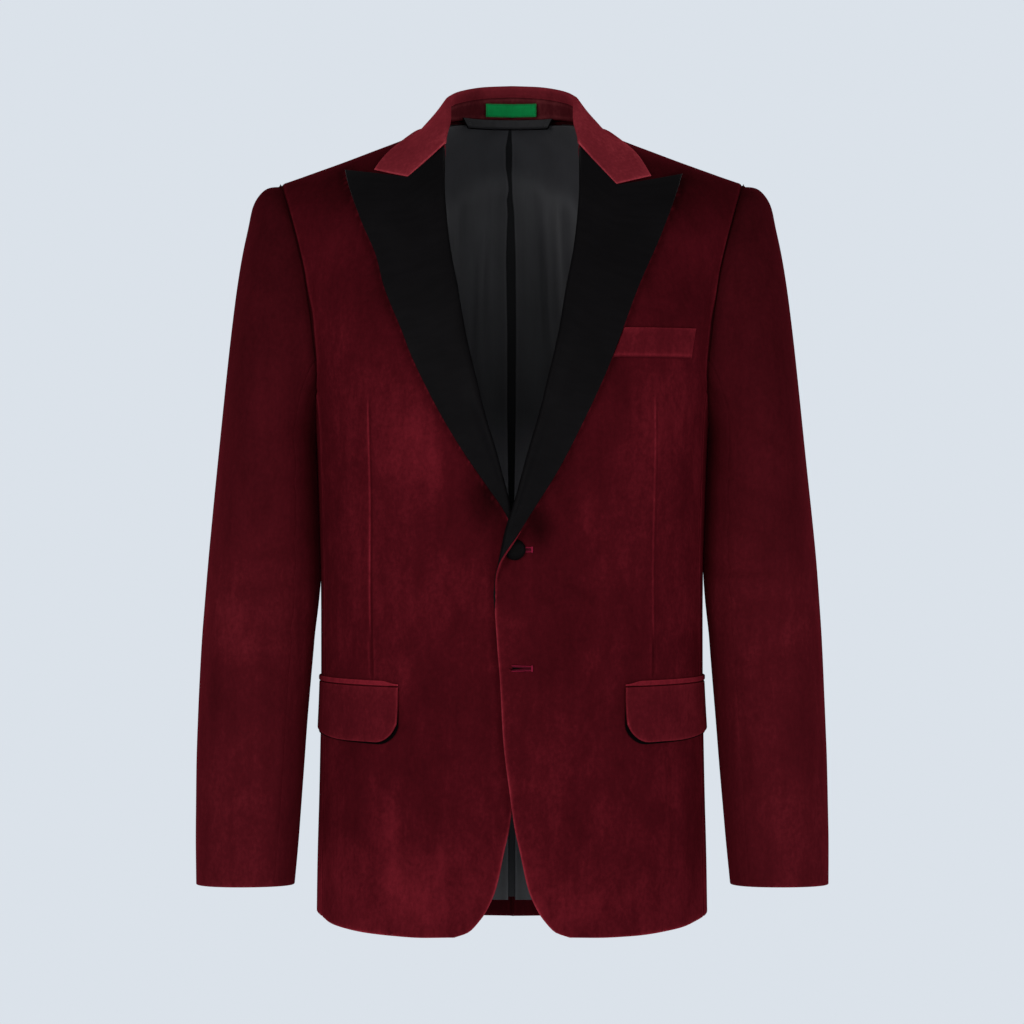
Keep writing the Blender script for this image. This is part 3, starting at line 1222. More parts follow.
def velvet(name, gain=1.0, sheen=0.09, streak=0.055, mottle=1.0, pink=1.0):
    """Short cotton pile: brushed patches, upright streaks, fine flecks, and a sheen where it is seen from the side."""
    m, nt, b = graph(name)
    coord = node(nt, "ShaderNodeTexCoord").outputs["Object"]
    big = noise(nt, stretched(nt, coord, (1, 1, 0.6)), 13.0, 3.0, 0.5, 0.5)
    mid = noise(nt, stretched(nt, coord, (1, 1, 0.6)), 52.0, 5.0, 0.62, 0.6)
    upright = noise(nt, stretched(nt, coord, (1, 1, 0.09)), 105.0, 3.0, 0.55)
    flecks = noise(nt, stretched(nt, coord, (1, 1, 0.7)), 330.0, 3.0, 0.6)
    pile = noise(nt, coord, 2600.0, 2.0, 0.6)
    tone = node(nt, "ShaderNodeAttribute", attribute_name="tone").outputs["Fac"]
    v = maths(nt, "MULTIPLY", ranged(nt, big, 0.32, 0.68, 1 - 0.14 * mottle, 1 + 0.15 * mottle), ranged(nt, mid, 0.3, 0.7, 1 - 0.12 * mottle, 1 + 0.13 * mottle))
    v = maths(nt, "MULTIPLY", v, ranged(nt, upright, 0.3, 0.7, 1 - streak, 1 + streak))
    v = maths(nt, "MULTIPLY", v, ranged(nt, flecks, 0.3, 0.7, 0.90, 1.10))
    v = maths(nt, "MULTIPLY", v, ranged(nt, pile, 0.3, 0.7, 0.93, 1.07))
    v = maths(nt, "MULTIPLY", v, tone)
    shade = ranged(nt, v, 0.3, 2.2, 0.0, 1.0)
    g = gain
    blue = 1 + (pink - 1) * 0.5
    stops = [
        (0.0, (0.010 * g, 0.0011 * g, 0.0016 * g)),
        (0.37, (0.050 * g, 0.0033 * g * (0.4 + 0.6 * pink), 0.0057 * g * (0.4 + 0.6 * blue))),
        (0.68, (0.112 * g, 0.0076 * g * pink, 0.0126 * g * blue)),
        (1.0, (0.205 * g, 0.0190 * g * pink, 0.0285 * g * blue)),
    ]
    nt.links.new(ramped(nt, shade, stops), b.inputs["Base Color"])
    nt.links.new(ranged(nt, flecks, 0.3, 0.7, 0.95, 0.82), b.inputs["Roughness"])
    bump = node(nt, "ShaderNodeBump", {"Height": maths(nt, "ADD", pile, flecks), "Strength": 0.35, "Distance": 0.0005})
    nt.links.new(bump.outputs["Normal"], b.inputs["Normal"])
    b.inputs["Specular IOR Level"].default_value = 0.0
    b.inputs["Sheen Weight"].default_value = sheen
    b.inputs["Sheen Roughness"].default_value = 0.42
    b.inputs["Sheen Tint"].default_value = (0.70, 0.05, 0.08, 1.0)
    return m


def satin(name, colour, rough=0.5, specular=0.02, floats=1.0):
    """Silk-faced satin: long floats along the cut, soft broad highlights."""
    m, nt, b = graph(name)
    tex = node(nt, "ShaderNodeTexCoord")
    uv, coord = tex.outputs["UV"], tex.outputs["Object"]
    lines = noise(nt, stretched(nt, uv, (260.0, 2600.0, 1.0)), 1.0, 3.0, 0.6)
    slub = noise(nt, stretched(nt, uv, (14.0, 160.0, 1.0)), 1.0, 4.0, 0.6)
    cloud = noise(nt, coord, 22.0, 3.0, 0.5)
    v = maths(nt, "MULTIPLY", ranged(nt, lines, 0.3, 0.7, 0.86, 1.16), ranged(nt, slub, 0.3, 0.7, 0.88, 1.14))
    v = maths(nt, "MULTIPLY", v, ranged(nt, cloud, 0.3, 0.7, 0.88, 1.14))
    r, g, bl = colour
    nt.links.new(ramped(nt, ranged(nt, v, 0.5, 1.5, 0, 1), [(0, (r * 0.5, g * 0.5, bl * 0.5)), (1, (r * 1.5, g * 1.5, bl * 1.5))]), b.inputs["Base Color"])
    nt.links.new(ranged(nt, maths(nt, "ADD", lines, cloud), 0.7, 1.3, rough + 0.05, rough - 0.05), b.inputs["Roughness"])
    bump = node(nt, "ShaderNodeBump", {"Height": maths(nt, "ADD", lines, maths(nt, "MULTIPLY", slub, 1.5)), "Strength": 0.12 * floats, "Distance": 0.0003})
    nt.links.new(bump.outputs["Normal"], b.inputs["Normal"])
    b.inputs["Specular IOR Level"].default_value = specular
    b.inputs["Anisotropic"].default_value = 0.45
    b.inputs["Sheen Weight"].default_value = 0.0
    b.inputs["Sheen Roughness"].default_value = 0.5
    b.inputs["Sheen Tint"].default_value = (0.5, 0.5, 0.75, 1.0)
    return m


def lining_cloth(name, colour, specular=0.3, rough=0.5):
    """Viscose lining: fine twill, a faint unevenness, a low sheen."""
    m, nt, b = graph(name)
    tex = node(nt, "ShaderNodeTexCoord")
    uv, coord = tex.outputs["UV"], tex.outputs["Object"]
    turn = node(nt, "ShaderNodeMapping", {"Vector": uv, "Rotation": (0, 0, math.radians(38)), "Scale": (1, 1, 1)}).outputs["Vector"]
    twill = node(nt, "ShaderNodeTexWave", {"Vector": turn, "Scale": 420.0, "Distortion": 0.6, "Detail": 1.0}).outputs["Fac"]
    soft = noise(nt, stretched(nt, coord, (1, 1, 0.35)), 26.0, 4.0, 0.55)
    slub = noise(nt, stretched(nt, uv, (900.0, 40.0, 1.0)), 1.0, 3.0, 0.6)
    tone = node(nt, "ShaderNodeAttribute", attribute_name="tone").outputs["Fac"]
    v = maths(nt, "MULTIPLY", ranged(nt, soft, 0.3, 0.7, 0.86, 1.15), ranged(nt, twill, 0, 1, 0.94, 1.05))
    v = maths(nt, "MULTIPLY", v, ranged(nt, slub, 0.3, 0.7, 0.95, 1.05))
    v = maths(nt, "MULTIPLY", v, tone)
    r, g, bl = colour
    nt.links.new(ramped(nt, ranged(nt, v, 0.0, 6.0, 0, 1), [(0, (0, 0, 0)), (1, (r * 6, g * 6, bl * 6))]), b.inputs["Base Color"])
    nt.links.new(ranged(nt, soft, 0.3, 0.7, rough + 0.05, rough - 0.05), b.inputs["Roughness"])
    bump = node(nt, "ShaderNodeBump", {"Height": maths(nt, "ADD", twill, slub), "Strength": 0.10, "Distance": 0.0002})
    nt.links.new(bump.outputs["Normal"], b.inputs["Normal"])
    b.inputs["Specular IOR Level"].default_value = specular
    b.inputs["Sheen Weight"].default_value = 0.05 if specular > 0.1 else 0.0
    return m


def woven(name, colour, rough=0.75):
    """Close ribbed weave of a tape or label."""
    m, nt, b = graph(name)
    tex = node(nt, "ShaderNodeTexCoord")
    uv, coord = tex.outputs["UV"], tex.outputs["Object"]
    warp = node(nt, "ShaderNodeTexWave", {"Vector": uv, "Scale": 330.0, "Distortion": 0.3, "Detail": 1.0}, bands_direction="X").outputs["Fac"]
    weft = node(nt, "ShaderNodeTexWave", {"Vector": uv, "Scale": 470.0, "Distortion": 0.3, "Detail": 1.0}, bands_direction="Y").outputs["Fac"]
    soft = noise(nt, coord, 160.0, 4.0, 0.6)
    tone = node(nt, "ShaderNodeAttribute", attribute_name="tone").outputs["Fac"]
    v = maths(nt, "MULTIPLY", ranged(nt, maths(nt, "MULTIPLY", warp, weft), 0, 1, 0.80, 1.22), ranged(nt, soft, 0.3, 0.7, 0.88, 1.12))
    v = maths(nt, "MULTIPLY", v, tone)
    r, g, bl = colour
    nt.links.new(ramped(nt, ranged(nt, v, 0.0, 2.0, 0, 1), [(0, (0, 0, 0)), (1, (r * 2, g * 2, bl * 2))]), b.inputs["Base Color"])
    nt.links.new(ranged(nt, warp, 0, 1, rough, rough - 0.1), b.inputs["Roughness"])
    bump = node(nt, "ShaderNodeBump", {"Height": maths(nt, "ADD", warp, weft), "Strength": 0.3, "Distance": 0.0002})
    nt.links.new(bump.outputs["Normal"], b.inputs["Normal"])
    b.inputs["Specular IOR Level"].default_value = 0.08
    return m


VELVET = velvet("velvet_body")
VELVET_SLEEVE = velvet("velvet_sleeve", 1.15, mottle=0.65, pink=1.2)
VELVET_COLLAR = velvet("velvet_collar", 2.75, sheen=0.15, streak=0.03, mottle=0.8, pink=1.75)
VELVET_STAND = velvet("velvet_stand", 1.0, streak=0.03, mottle=0.8, pink=2.7)
VELVET_TRIM = velvet("velvet_trim", 1.32, streak=0.05, mottle=0.8, pink=1.1)
VELVET_JET = velvet("velvet_jet", 1.9, streak=0.04, mottle=0.5)
VELVET_EDGE = velvet("velvet_edge", 1.9, streak=0.04, mottle=0.5)
LAPEL_SATIN = satin("lapel_satin", (0.0033, 0.0029, 0.0032))
BUTTON_SATIN = satin("button_satin", (0.0017, 0.0013, 0.0013), 0.5, 0.025, 0.5)
UNDERSIDE = lining_cloth("flap_underside", (0.0016, 0.0010, 0.0012), 0.02, 0.9)
LINING_CLOTH = lining_cloth("back_lining", (0.046, 0.045, 0.049))
SLEEVE_LINING = lining_cloth("inner_lining", (0.016, 0.0155, 0.017))
PLEAT_CLOTH = lining_cloth("pleat_lining", (0.008, 0.008, 0.009), 0.15, 0.6)
TAPE_CLOTH = woven("loop_tape", (0.024, 0.0235, 0.025))
GREEN = woven("label_green", (0.0008, 0.200, 0.046))
THREAD = lining_cloth("buttonhole_thread", (0.20, 0.007, 0.028), 0.05, 0.7)
THREAD_DEEP = lining_cloth("purl_thread", (0.070, 0.0035, 0.010), 0.05, 0.8)
THREAD_DARK = lining_cloth("dark_thread", (0.020, 0.019, 0.021), 0.3, 0.5)


# ---------------------------------------------------------------- the pieces
def beneath(p):
    return p + np.array([0, 0, -100.0])


def behind(p):
    return p + np.array([0, 100.0, 0])


def row_length(at, s0, s1, t):
    q = at(np.linspace(s0, s1, 80), np.full(80, float(t)))
    return float(np.linalg.norm(np.diff(q, axis=0), axis=1).sum())


def column_length(at, s, t0=0.0, t1=1.0):
    q = at(np.full(120, float(s)), np.linspace(t0, t1, 120))
    return float(np.linalg.norm(np.diff(q, axis=0), axis=1).sum())


def with_dart(at, sign, key=0.74):
    """The panel's lines bent so that one of them runs down the dart."""
    ts, ss = np.linspace(0, 1, 160), np.linspace(0.35, 0.98, 300)
    gs, gt = np.meshgrid(ss, ts)
    q = at(gs, gt)
    (x0, z0), (x1, z1) = DARTS[sign]
    k = np.clip((q[..., 2] - z0) / (z1 - z0), -0.4, 1.3)
    off = q[..., 0] - (x0 + (x1 - x0) * k + 0.5 * np.sin(k * 9.0 + sign))
    place = np.array([ss[int(np.argmin(np.abs(r)))] for r in off])
    kernel = np.ones(9) / 9
    place = np.convolve(np.pad(place, 4, mode="edge"), kernel, mode="valid")

    def bent(s, t):
        s, t = np.broadcast_arrays(np.asarray(s, float), np.asarray(t, float))
        w = np.interp(t, ts, place)
        return at(np.where(s < key, s * w / key, w + (s - key) * (1 - w) / (1 - key)), t)

    return bent


def slot_groove(p, sign):
    """The front sinks along the mouth of each pocket, behind the flap's and the welt's upper edge."""
    a, z = section_angle(p), p[..., 2]
    s = np.clip((a - POCKET_START) / (POCKET_REAR[0] - POCKET_START), 0, 1)
    mouth = z - (POCKET_FRONT[1] + (POCKET_REAR[1] - POCKET_FRONT[1]) * s)
    live = ramp(a, POCKET_START - 1.5, POCKET_START + 2) * (p[..., 1] < 40)
    off = -1.2 * np.exp(-(((mouth - 0.5) / 1.6) ** 2)) * live
    if sign > 0:
        (ux0, uz0, ux1, uz1), _ = WELT_BOX
        k = (p[..., 0] - ux0) / (ux1 - ux0)
        top = p[..., 2] - (uz0 + (uz1 - uz0) * k)
        off = off - 1.3 * np.exp(-(((top - 0.2) / 1.3) ** 2)) * ramp(k, -0.02, 0.03) * (1 - ramp(k, 0.97, 1.02))
    return off


TUCKED = [(x + 5.0 * float(ramp(z, -408, -372) * (1 - ramp(z, -70, -20))), z) for x, z in ROLL_LINE]
plain_front, side, back = front_patch(), side_patch(), back_patch()
armhole = armhole_loop(plain_front, side, back)
lining_in = moved_out(back_patch(HEM_TURN), -LINING_IN)
SIDES = (("left", 1), ("right", -1))
SHEETS = {}


LAP_IN = 4.5  # the sleeve's seam allowance lies inside the armhole


def set_in_sleeve(turn_at):
    """A sleeve panel whose head runs on through the armhole seam, inward under the body."""
    middle = np.mean(armhole(np.arange(0, 360, 5.0)), axis=0)

    def at(s, t):
        s, t = np.broadcast_arrays(np.asarray(s, float), np.asarray(t, float))
        p = sleeve(armhole, turn_at(s), np.clip(t, 0, 1))
        inward = middle - p
        inward[..., 0] = 0
        step = unit(inward) * 0.62 + np.array([-1.0, 0, 0])
        return p + step * (np.clip(-t, 0, 1) * 640.0)[..., None]

    return at


def front_cloth(sign):
    bent = with_dart(front_patch(TUCKED), sign)
    if sign > 0:
        return bent
    return moved_out(bent, lambda s, t: -sink(bent(s, t)[..., 0], bent(s, t)[..., 2]))


for name, sign in SIDES:
    at = front_cloth(sign)
    wide, tall = row_length(at, 0, 1, 0.35), column_length(at, 0.6)
    ss = rows(wide, FREE, SEAMED)
    ss = np.unique(np.concatenate([ss[np.abs(ss - 0.74) * wide > 5.2], 0.74 + np.array([-4.6, -3.6, -2.8, -2.1, -1.5, -1.0, -0.6, -0.3, 0, 0.3, 0.6, 1.0, 1.5, 2.1, 2.8, 3.6, 4.6]) / wide]))
    tt = rows(tall, FREE, SEAMED)
    edges = ("free", "seam", "free", "seam")
    SHEETS[f"front_{name}"] = shell(
        f"front_{name}_velvet", at, ss, tt, 2.2, [VELVET, SLEEVE_LINING], axis_of_body, sign, edges,
        lambda p, gs, gt: body_folds(p, sign) + dart(p, sign) + slot_groove(p, sign),
        body_tone(sign, edges, True), (wide, tall), lambda p, d: (d[0] > 78) & (d[2] > 34),
    )
    wide, tall = row_length(side, 0, 1, 0.5), column_length(side, 0.5)
    edges = ("seam", "seam", "free", "seam")
    SHEETS[f"side_{name}"] = shell(
        f"side_{name}_velvet", side, rows(wide, SEAMED, SEAMED), rows(tall, FREE, SEAMED), 2.0, [VELVET, SLEEVE_LINING], axis_of_body, sign, edges,
        lambda p, gs, gt: body_folds(p, sign) + slot_groove(p, sign),
        body_tone(sign, edges, False), (wide, tall), lambda p, d: d[2] > 34,
    )
    wide, tall = row_length(back, 0, 1, 0.45), column_length(back, 0.5)
    edges = (0.85, "seam", "free", "seam")
    SHEETS[f"back_{name}"] = shell(
        f"back_{name}_velvet", back, rows(wide, SEAMED, SEAMED), rows(tall, FREE, SEAMED), 2.0, [VELVET, SLEEVE_LINING], axis_of_body, sign, edges,
        lambda p, gs, gt: body_folds(p, sign),
        body_tone(sign, edges, False), (wide, tall), lambda p, d: d[2] > 34, None, 0.5,
    )
    f, b = SLEEVE_SEAMS
    for piece, turn_at, wide, sides_ in (
        ("sleeve_top", lambda s: b - 360 + (f - b + 360) * s, 190.0, ("seam", FAINT)),
        ("sleeve_under", lambda s: f + (b - f) * s, 140.0, (FAINT, "seam")),
    ):
        at = set_in_sleeve(turn_at)
        tall = column_length(at, 0.5, 0.0, 1.0)
        tt = np.concatenate([-np.array([4.5, 3.2, 2.0, 1.1, 0.5]) / tall, rows(tall, SEAMED, FREE)])
        edges = (*sides_, "free", "free")
        SHEETS[f"{piece}_{name}"] = shell(
            f"{piece}_{name}_velvet", at, rows(wide, SEAMED, SEAMED), tt, lambda gs, gt: 1.9 - 0.9 * (gt < 0), [VELVET_SLEEVE, SLEEVE_LINING], axis_of_sleeve, sign, edges,
            lambda p, gs, gt, turn_at=turn_at, tall=tall: sleeve_folds(turn_at(gs), p, gt, sign) - 0.9 * np.exp(-((np.abs(gt * tall) / 1.6) ** 1.4)),
            sleeve_tone(sign, edges), (wide, tall), lambda p, d: d[3] > 30,
        )


def lapel_cloth(sign):
    """The satin facing: flat inside the front, round its roll line, then out over the chest to the lapel's edge."""
    fold, edge = along(ROLL_LINE), along(LAPEL_EDGE[sign])
    tops = (ROLL_LINE[-1], GORGE[sign], LAPEL_EDGE[sign][-1])
    a1, b1 = np.array(tops[0], float), np.array(tops[2], float)

    def lift_of(s, t, x, z):
        lift = LAPEL_LIFT + LAPEL + 2.4 * np.exp(-(((s - 0.10) / 0.16) ** 2)) * ramp(t, 0.0, 0.3) * (1 - 0.6 * ramp(t, 0.8, 1.0)) * (ramp(x, -4, 26) if sign < 0 else 1.0)
        lift = lift + 0.5 * np.exp(-(((s - 0.62) / 0.2) ** 2)) * np.sin(t * 9.0 + 1.2 * sign) * ramp(t, 0.2, 0.5) + 0.7 * ramp(s, 0.8, 1.0) * np.sin(t * 7.0 + sign) ** 2 * ramp(t, 0.2, 0.4)
        if sign > 0:
            near = np.hypot(x - BUTTON_X, z - BUTTON_Z[0])
            return lift + 4.2 * (1 - ramp(near, 9.0, 34.0))
        return lift - sink(x, z)

    def flat(s, t):
        a, b = fold(t), edge(t)
        u = s[..., None]
        bend = broken(tops, LAPEL_BREAK, s) - ((1 - u) * a1 + u * b1)
        return (1 - u) * a + u * b + bend * np.clip((t[..., None] - 0.72) / 0.28, 0, 1) ** 2

    def at(r, t):
        r, t = np.broadcast_arrays(np.asarray(r, float), np.asarray(t, float))
        a, b = fold(t), edge(t)
        width = np.linalg.norm(b - a, axis=-1)
        across = np.minimum(4.0, 0.3 + 0.42 * width)
        s0 = across / width
        s = np.where(r > 0, s0 + (1 - s0) * np.clip(r, 0, 1), s0)
        q = flat(s, t)
        x, z = q[..., 0], q[..., 1]
        small = ramp(t, 0.0, 0.075)
        lift = lift_of(s, t, x, z)
        lift = lift * small + (1 - small) * (-0.4 - (sink(x, z) if sign < 0 else 0))
        top = flat(s0, t)
        out = unit(top - a)
        phi = np.radians(90 + np.clip(r, -0.5, 0) * 360)
        low = -1.5 - 2.0 * small - (sink(a[..., 0], a[..., 1]) if sign < 0 else 0)
        turn_d = across * (1 - np.cos(phi))
        inner_d = across + np.clip((-0.5 - r) / 0.5, 0, 1) * (1.0 + 26.0 * ramp(t, 0.10, 0.30))
        dd = np.where(r < -0.5, inner_d, turn_d)
        curl = a + out * dd[..., None]
        off = np.where(r < -0.5, low, (lift + low) / 2 + (lift - low) / 2 * np.sin(phi))
        x = np.where(r > 0, x, curl[..., 0])
        z = np.where(r > 0, z, curl[..., 1])
        off = np.where(r > 0, lift, off)
        base = on_front(x, z, np.zeros_like(x))
        return on_front(x, z, off + body_folds(base, sign) * np.where(r > -0.5, 1.0, 0.4))

    return at


def facing_line():
    """Below the break the satin facing still shows as a narrow line round the over front's edge."""
    zs = np.linspace(-458, -398, 46)
    xs = np.interp(zs, [z for x, z in EDGE + ROLL_LINE[1:3]], [x for x, z in EDGE + ROLL_LINE[1:3]])
    size = (0.2 + 1.0 * ramp(zs, -458, -424)) * (1 - 0.7 * ramp(zs, -410, -398))
    pts = on_front(xs + 0.35, zs, np.full(zs.shape, -1.1))
    return tube(pts, size, 10, 1.0)


def edge_line():
    """Where the lapel starts to turn, the velvet's own edge rolls over the satin and the button as a fine bright line."""
    line = along([(-14.4, -432), (-14.6, -420), (-13.9, -408), (-11.0, -396.4), (-5.7, -386.6), (-0.8, -379.2), (3.7, -372.6), (7.8, -366.2)])(np.linspace(0, 1, 60))
    x, z = line[:, 0], line[:, 1]
    near = np.hypot(x - BUTTON_X, z - BUTTON_Z[0])
    lift = LAPEL_LIFT + LAPEL + 4.2 * (1 - ramp(near, 9.0, 34.0))
    up = ramp(z, -424, -396)
    off = lift * up + (1 - up) * -0.75 + 0.15
    size = 0.35 + 0.5 * ramp(z, -430, -412) * (1 - ramp(z, -384, -364))
    return on_front(x, z, off), size


for name, sign in SIDES:
    at = lapel_cloth(sign)
    wide = row_length(at, 0, 1, 0.75)
    rr = np.unique(np.concatenate([-1 + 0.5 * rows(27.0, FREE[2:], ()), -0.5 + 0.5 * np.linspace(0, 1, 17), rows(wide, (0.4, 1.0, 1.8), FREE), [LAPEL_BREAK]]))
    tt = rows(480.0, FREE, FREE)
    edges = ("free",) * 4
    extra = [(*facing_line(), 0), (*tube(*edge_line(), 10, 1.0), 1)] if sign > 0 else None
    SHEETS[f"lapel_{name}"] = shell(
        f"lapel_{name}_satin", at, rr, tt, lambda gs, gt: 0.5 + 1.1 * ramp(gt, 0.0, 0.12), [LAPEL_SATIN, VELVET_EDGE], behind, sign, edges, None,
        lambda p, n, d: np.ones(p.shape[:2]), (140.0, 480.0), None, extra,
    )

# ---- collar: the leaf over the fold to the band, and the stand inside
leaf_end, turn_end = COLLAR_SHARES
ss = np.unique(np.concatenate([leaf_end * rows(66.0, FREE, ()), leaf_end + (turn_end - leaf_end) * np.linspace(0, 1, 13), turn_end + (1 - turn_end) * rows(8.5, (), SEAMED[:5], 1.6), [COLLAR_BREAK * leaf_end]]))
tt = rows(470.0, FREE, FREE, 3.0)
edges = ("free", "seam", "free", "free")
SHEETS["collar_leaf"] = shell(
    "collar_leaf_velvet", lambda s, t: collar(s, 2 * t - 1), ss, tt, COLLAR, [VELVET_COLLAR, VELVET_STAND], beneath, 1, edges,
    lambda p, gs, gt: (0.5 * waves(p[..., 0] * 1.3, p[..., 1] * 1.3, 2.0) * np.clip(gs / 0.2, 0, 1) - 1.7 * np.exp(-(((gs - 0.24) / 0.15) ** 2)) * np.exp(-(((np.abs(2 * gt - 1) - 0.64) / 0.2) ** 2))) * (gs < leaf_end),
    lambda p, n, d: np.clip(1.0 - 0.36 * ramp(p[..., 1], 0, 60) + edge_light(d, ("free",) * 4, 0.30) + 0.25 * np.exp(-(((d[1] - 12) / 4) ** 2)) * ramp(p[..., 1], 0, 40), 0.3, 2.0), (90.0, 470.0), lambda p, d: np.ones(p.shape[:2], bool),
)
edges = (0.5, 0.8, "free", "free")
SHEETS["collar_stand"] = shell(
    "collar_stand_velvet", lambda s, t: stand(s, 1.66 * t - 0.83), rows(26.0, SEAMED[:6], SEAMED[:6], 2.0), rows(330.0, FREE, FREE, 3.0), STAND, [VELVET_STAND],
    lambda p: p * np.array([2.0, 2.0, 1.0]) + np.array([0, 40.0, 0]), 1, edges, None,
    lambda p, n, d: np.clip(0.9 + edge_light(d, edges, 0.1), 0.3, 2.0), (26.0, 330.0),
)


# ---- back lining, its pleat, the hanger loop and the label
def lining_folds(p, sign):
    x, z = p[..., 0], p[..., 2]
    off = 0.5 * body_folds(p, sign) * ramp(x, 8, 40)
    off = off + 0.9 * np.sin(x * 0.21 + 1.5 * np.sin(z * 0.011 + sign) + sign) * ramp(x, 6, 26) * (1 - 0.6 * ramp(z, -80, -10))
    for from_, to, width, depth, bow in (((20, -40), (34, -250), 6.0, 0.9, 3), ((46, -20), (60, -330), 7.0, 1.0, -4), ((30, -300), (22, -560), 7.0, 1.0, 3), ((70, -420), (64, -690), 8.0, 1.1, -3), ((26, -620), (30, -715), 5.0, 0.8, 1), ((12, -330), (40, -372), 5.0, 0.6, 2)):
        off = off + crease(x, z + 6 * sign, from_, to, width, depth, bow)
    return off * 0.9


# the pleat's two edges by height: it opens downward, and is pinched where it is tacked near the neck
PLEAT_EDGES = {
    1: ([-735, -337, -261, -175, -108, -80, -65, -51, -41, -27, -18, -3, 11], [3.0, 2.2, 3.4, 3.8, 3.3, 2.4, 1.9, 0.5, 0.0, -0.5, 0.0, 0.0, -0.5]),
    -1: ([-735, -337, -261, -175, -108, -80, -65, -51, -41, -32, -22, -3, 11], [3.6, 3.4, 4.4, 4.4, 5.4, 4.8, 3.8, 4.8, 2.9, 3.8, 5.7, 5.9, 3.3]),
}


def lining_tone(p, n, d):
    """Lighter far down the opening, with a soft line along the pleat's rolled edge."""
    z = p[..., 2]
    v = 0.97 + 5.0 * (1 - ramp(z, -352, -246)) - 5.55 * (1 - ramp(z, -600, -460)) - 0.10 * ramp(z, -30, 10)
    return v + 0.22 * np.exp(-((d[0] / 1.4) ** 2)) - 0.22 * np.exp(-(((d[0] - 5) / 4) ** 2)) * (1 - ramp(z, -60, 0))


for name, sign in SIDES:
    base = lining_half(lining_in, sign)

    def wavy(s, t, base=base, sign=sign):
        p = base(s, t)
        z, edge_x = PLEAT_EDGES[sign]
        gap = PLEAT_GAP[1] if sign > 0 else PLEAT_GAP[0]
        shift = (np.interp(p[..., 2], z, edge_x) - gap) * (1 - np.clip((p[..., 0] - gap) / 60, 0, 1))
        return p + np.stack([shift, np.zeros_like(shift), np.zeros_like(shift)], -1)

    wide, tall = row_length(wavy, 0, 1, 0.45), column_length(wavy, 0.5)
    edges = ("free", "free", "free", "free")
    SHEETS[f"lining_back_{name}"] = shell(
        f"lining_back_{name}_cloth", wavy, rows(wide, FREE, FREE[2:], 4.4), rows(tall, FREE, FREE[2:], 4.4), 0.8, [LINING_CLOTH], lambda p: p * np.array([0, 0, 1.0]) + np.array([0, 600.0, 0]), sign, edges,
        lambda p, gs, gt: -lining_folds(p, sign),
        lining_tone, (wide, tall),
    )
SHEETS["lining_pleat"] = shell("lining_pleat_cloth", pleat, rows(30.0, FREE[1:4], FREE[1:4], 3.0), rows(740.0, FREE[1:4], FREE[1:4], 6.0), 0.7, [PLEAT_CLOTH], lambda p: p + np.array([0, 100.0, 0]), 1, ("free",) * 4, lambda p, gs, gt: 0.5 * np.sin(p[..., 2] * 0.05), lambda p, n, d: np.ones(p.shape[:2]), (30.0, 740.0))
SHEETS["hanger_loop"] = shell("hanger_loop_tape", loop, rows(90.0, FREE, FREE, 1.6), rows(8.0, FREE[:5], FREE[:5], 1.2), 0.9, [TAPE_CLOTH], behind, 1, ("free",) * 4, lambda p, gs, gt: 0.25 * np.sin(gs * 14), lambda p, n, d: 1.05 - 0.85 * np.exp(-((d[2] / 0.75) ** 2)) - 0.8 * np.exp(-((np.minimum(d[0], d[1]) / 0.7) ** 2)), (90.0, 8.0))
SHEETS["neck_label"] = shell("neck_label_woven", label, rows(47.0, FREE, FREE, 1.5), rows(12.2, FREE[:5], FREE[:5], 1.2), 0.7, [GREEN], behind, 1, ("free",) * 4, lambda p, gs, gt: 0.18 * np.sin(gs * 9 + 1) * np.sin(gt * 3.1), lambda p, n, d: 1.0 - 0.25 * np.exp(-(((np.minimum.reduce(d) - 1.0) / 0.35) ** 2)), (47.0, 12.2))


# ---- pockets
def on_pocket(at, sign):
    """A pocket piece carried by the folds of the panel that it lies on."""
    def carried(s, t):
        p = at(s, t)
        n = unit(np.stack([p[..., 0] / 178.0**2, p[..., 1] / 125.0**2, np.zeros(p.shape[:-1])], -1))
        return p + n * body_folds(p, sign)[..., None]

    return carried


def under_flap(s, t):
    """The flap's dark underside, seen as a line along its front and lower edge."""
    s, t = np.broadcast_arrays(np.asarray(s, float), np.asarray(t, float))
    top = flap(s, t)
    a = angle_of(np.abs(top[..., 0]), top[..., 2])
    a = np.where(top[..., 1] > body_at(top[..., 2])[..., 3], 180 - a, a)
    k = 1 - ramp(s, 0.0, 0.55)
    return on_body(a - 1.4 * k * t**0.9, top[..., 2] - (0.7 + 1.6 * k) * t, 1.1 + 0.4 * t)


def short_jet(s, t):
    """The jet, narrowing to nothing in the pocket's front end."""
    s = np.asarray(s, float)
    close = ramp(s * POCKET_LENGTH, 0.0, 16.0)
    p = jet(s, 0.15 + (np.asarray(t, float) - 0.15) * (0.35 + 0.65 * close))
    return p - np.array([1.2, 0, 0]) * ramp(s, 0.88, 1.0)[..., None]


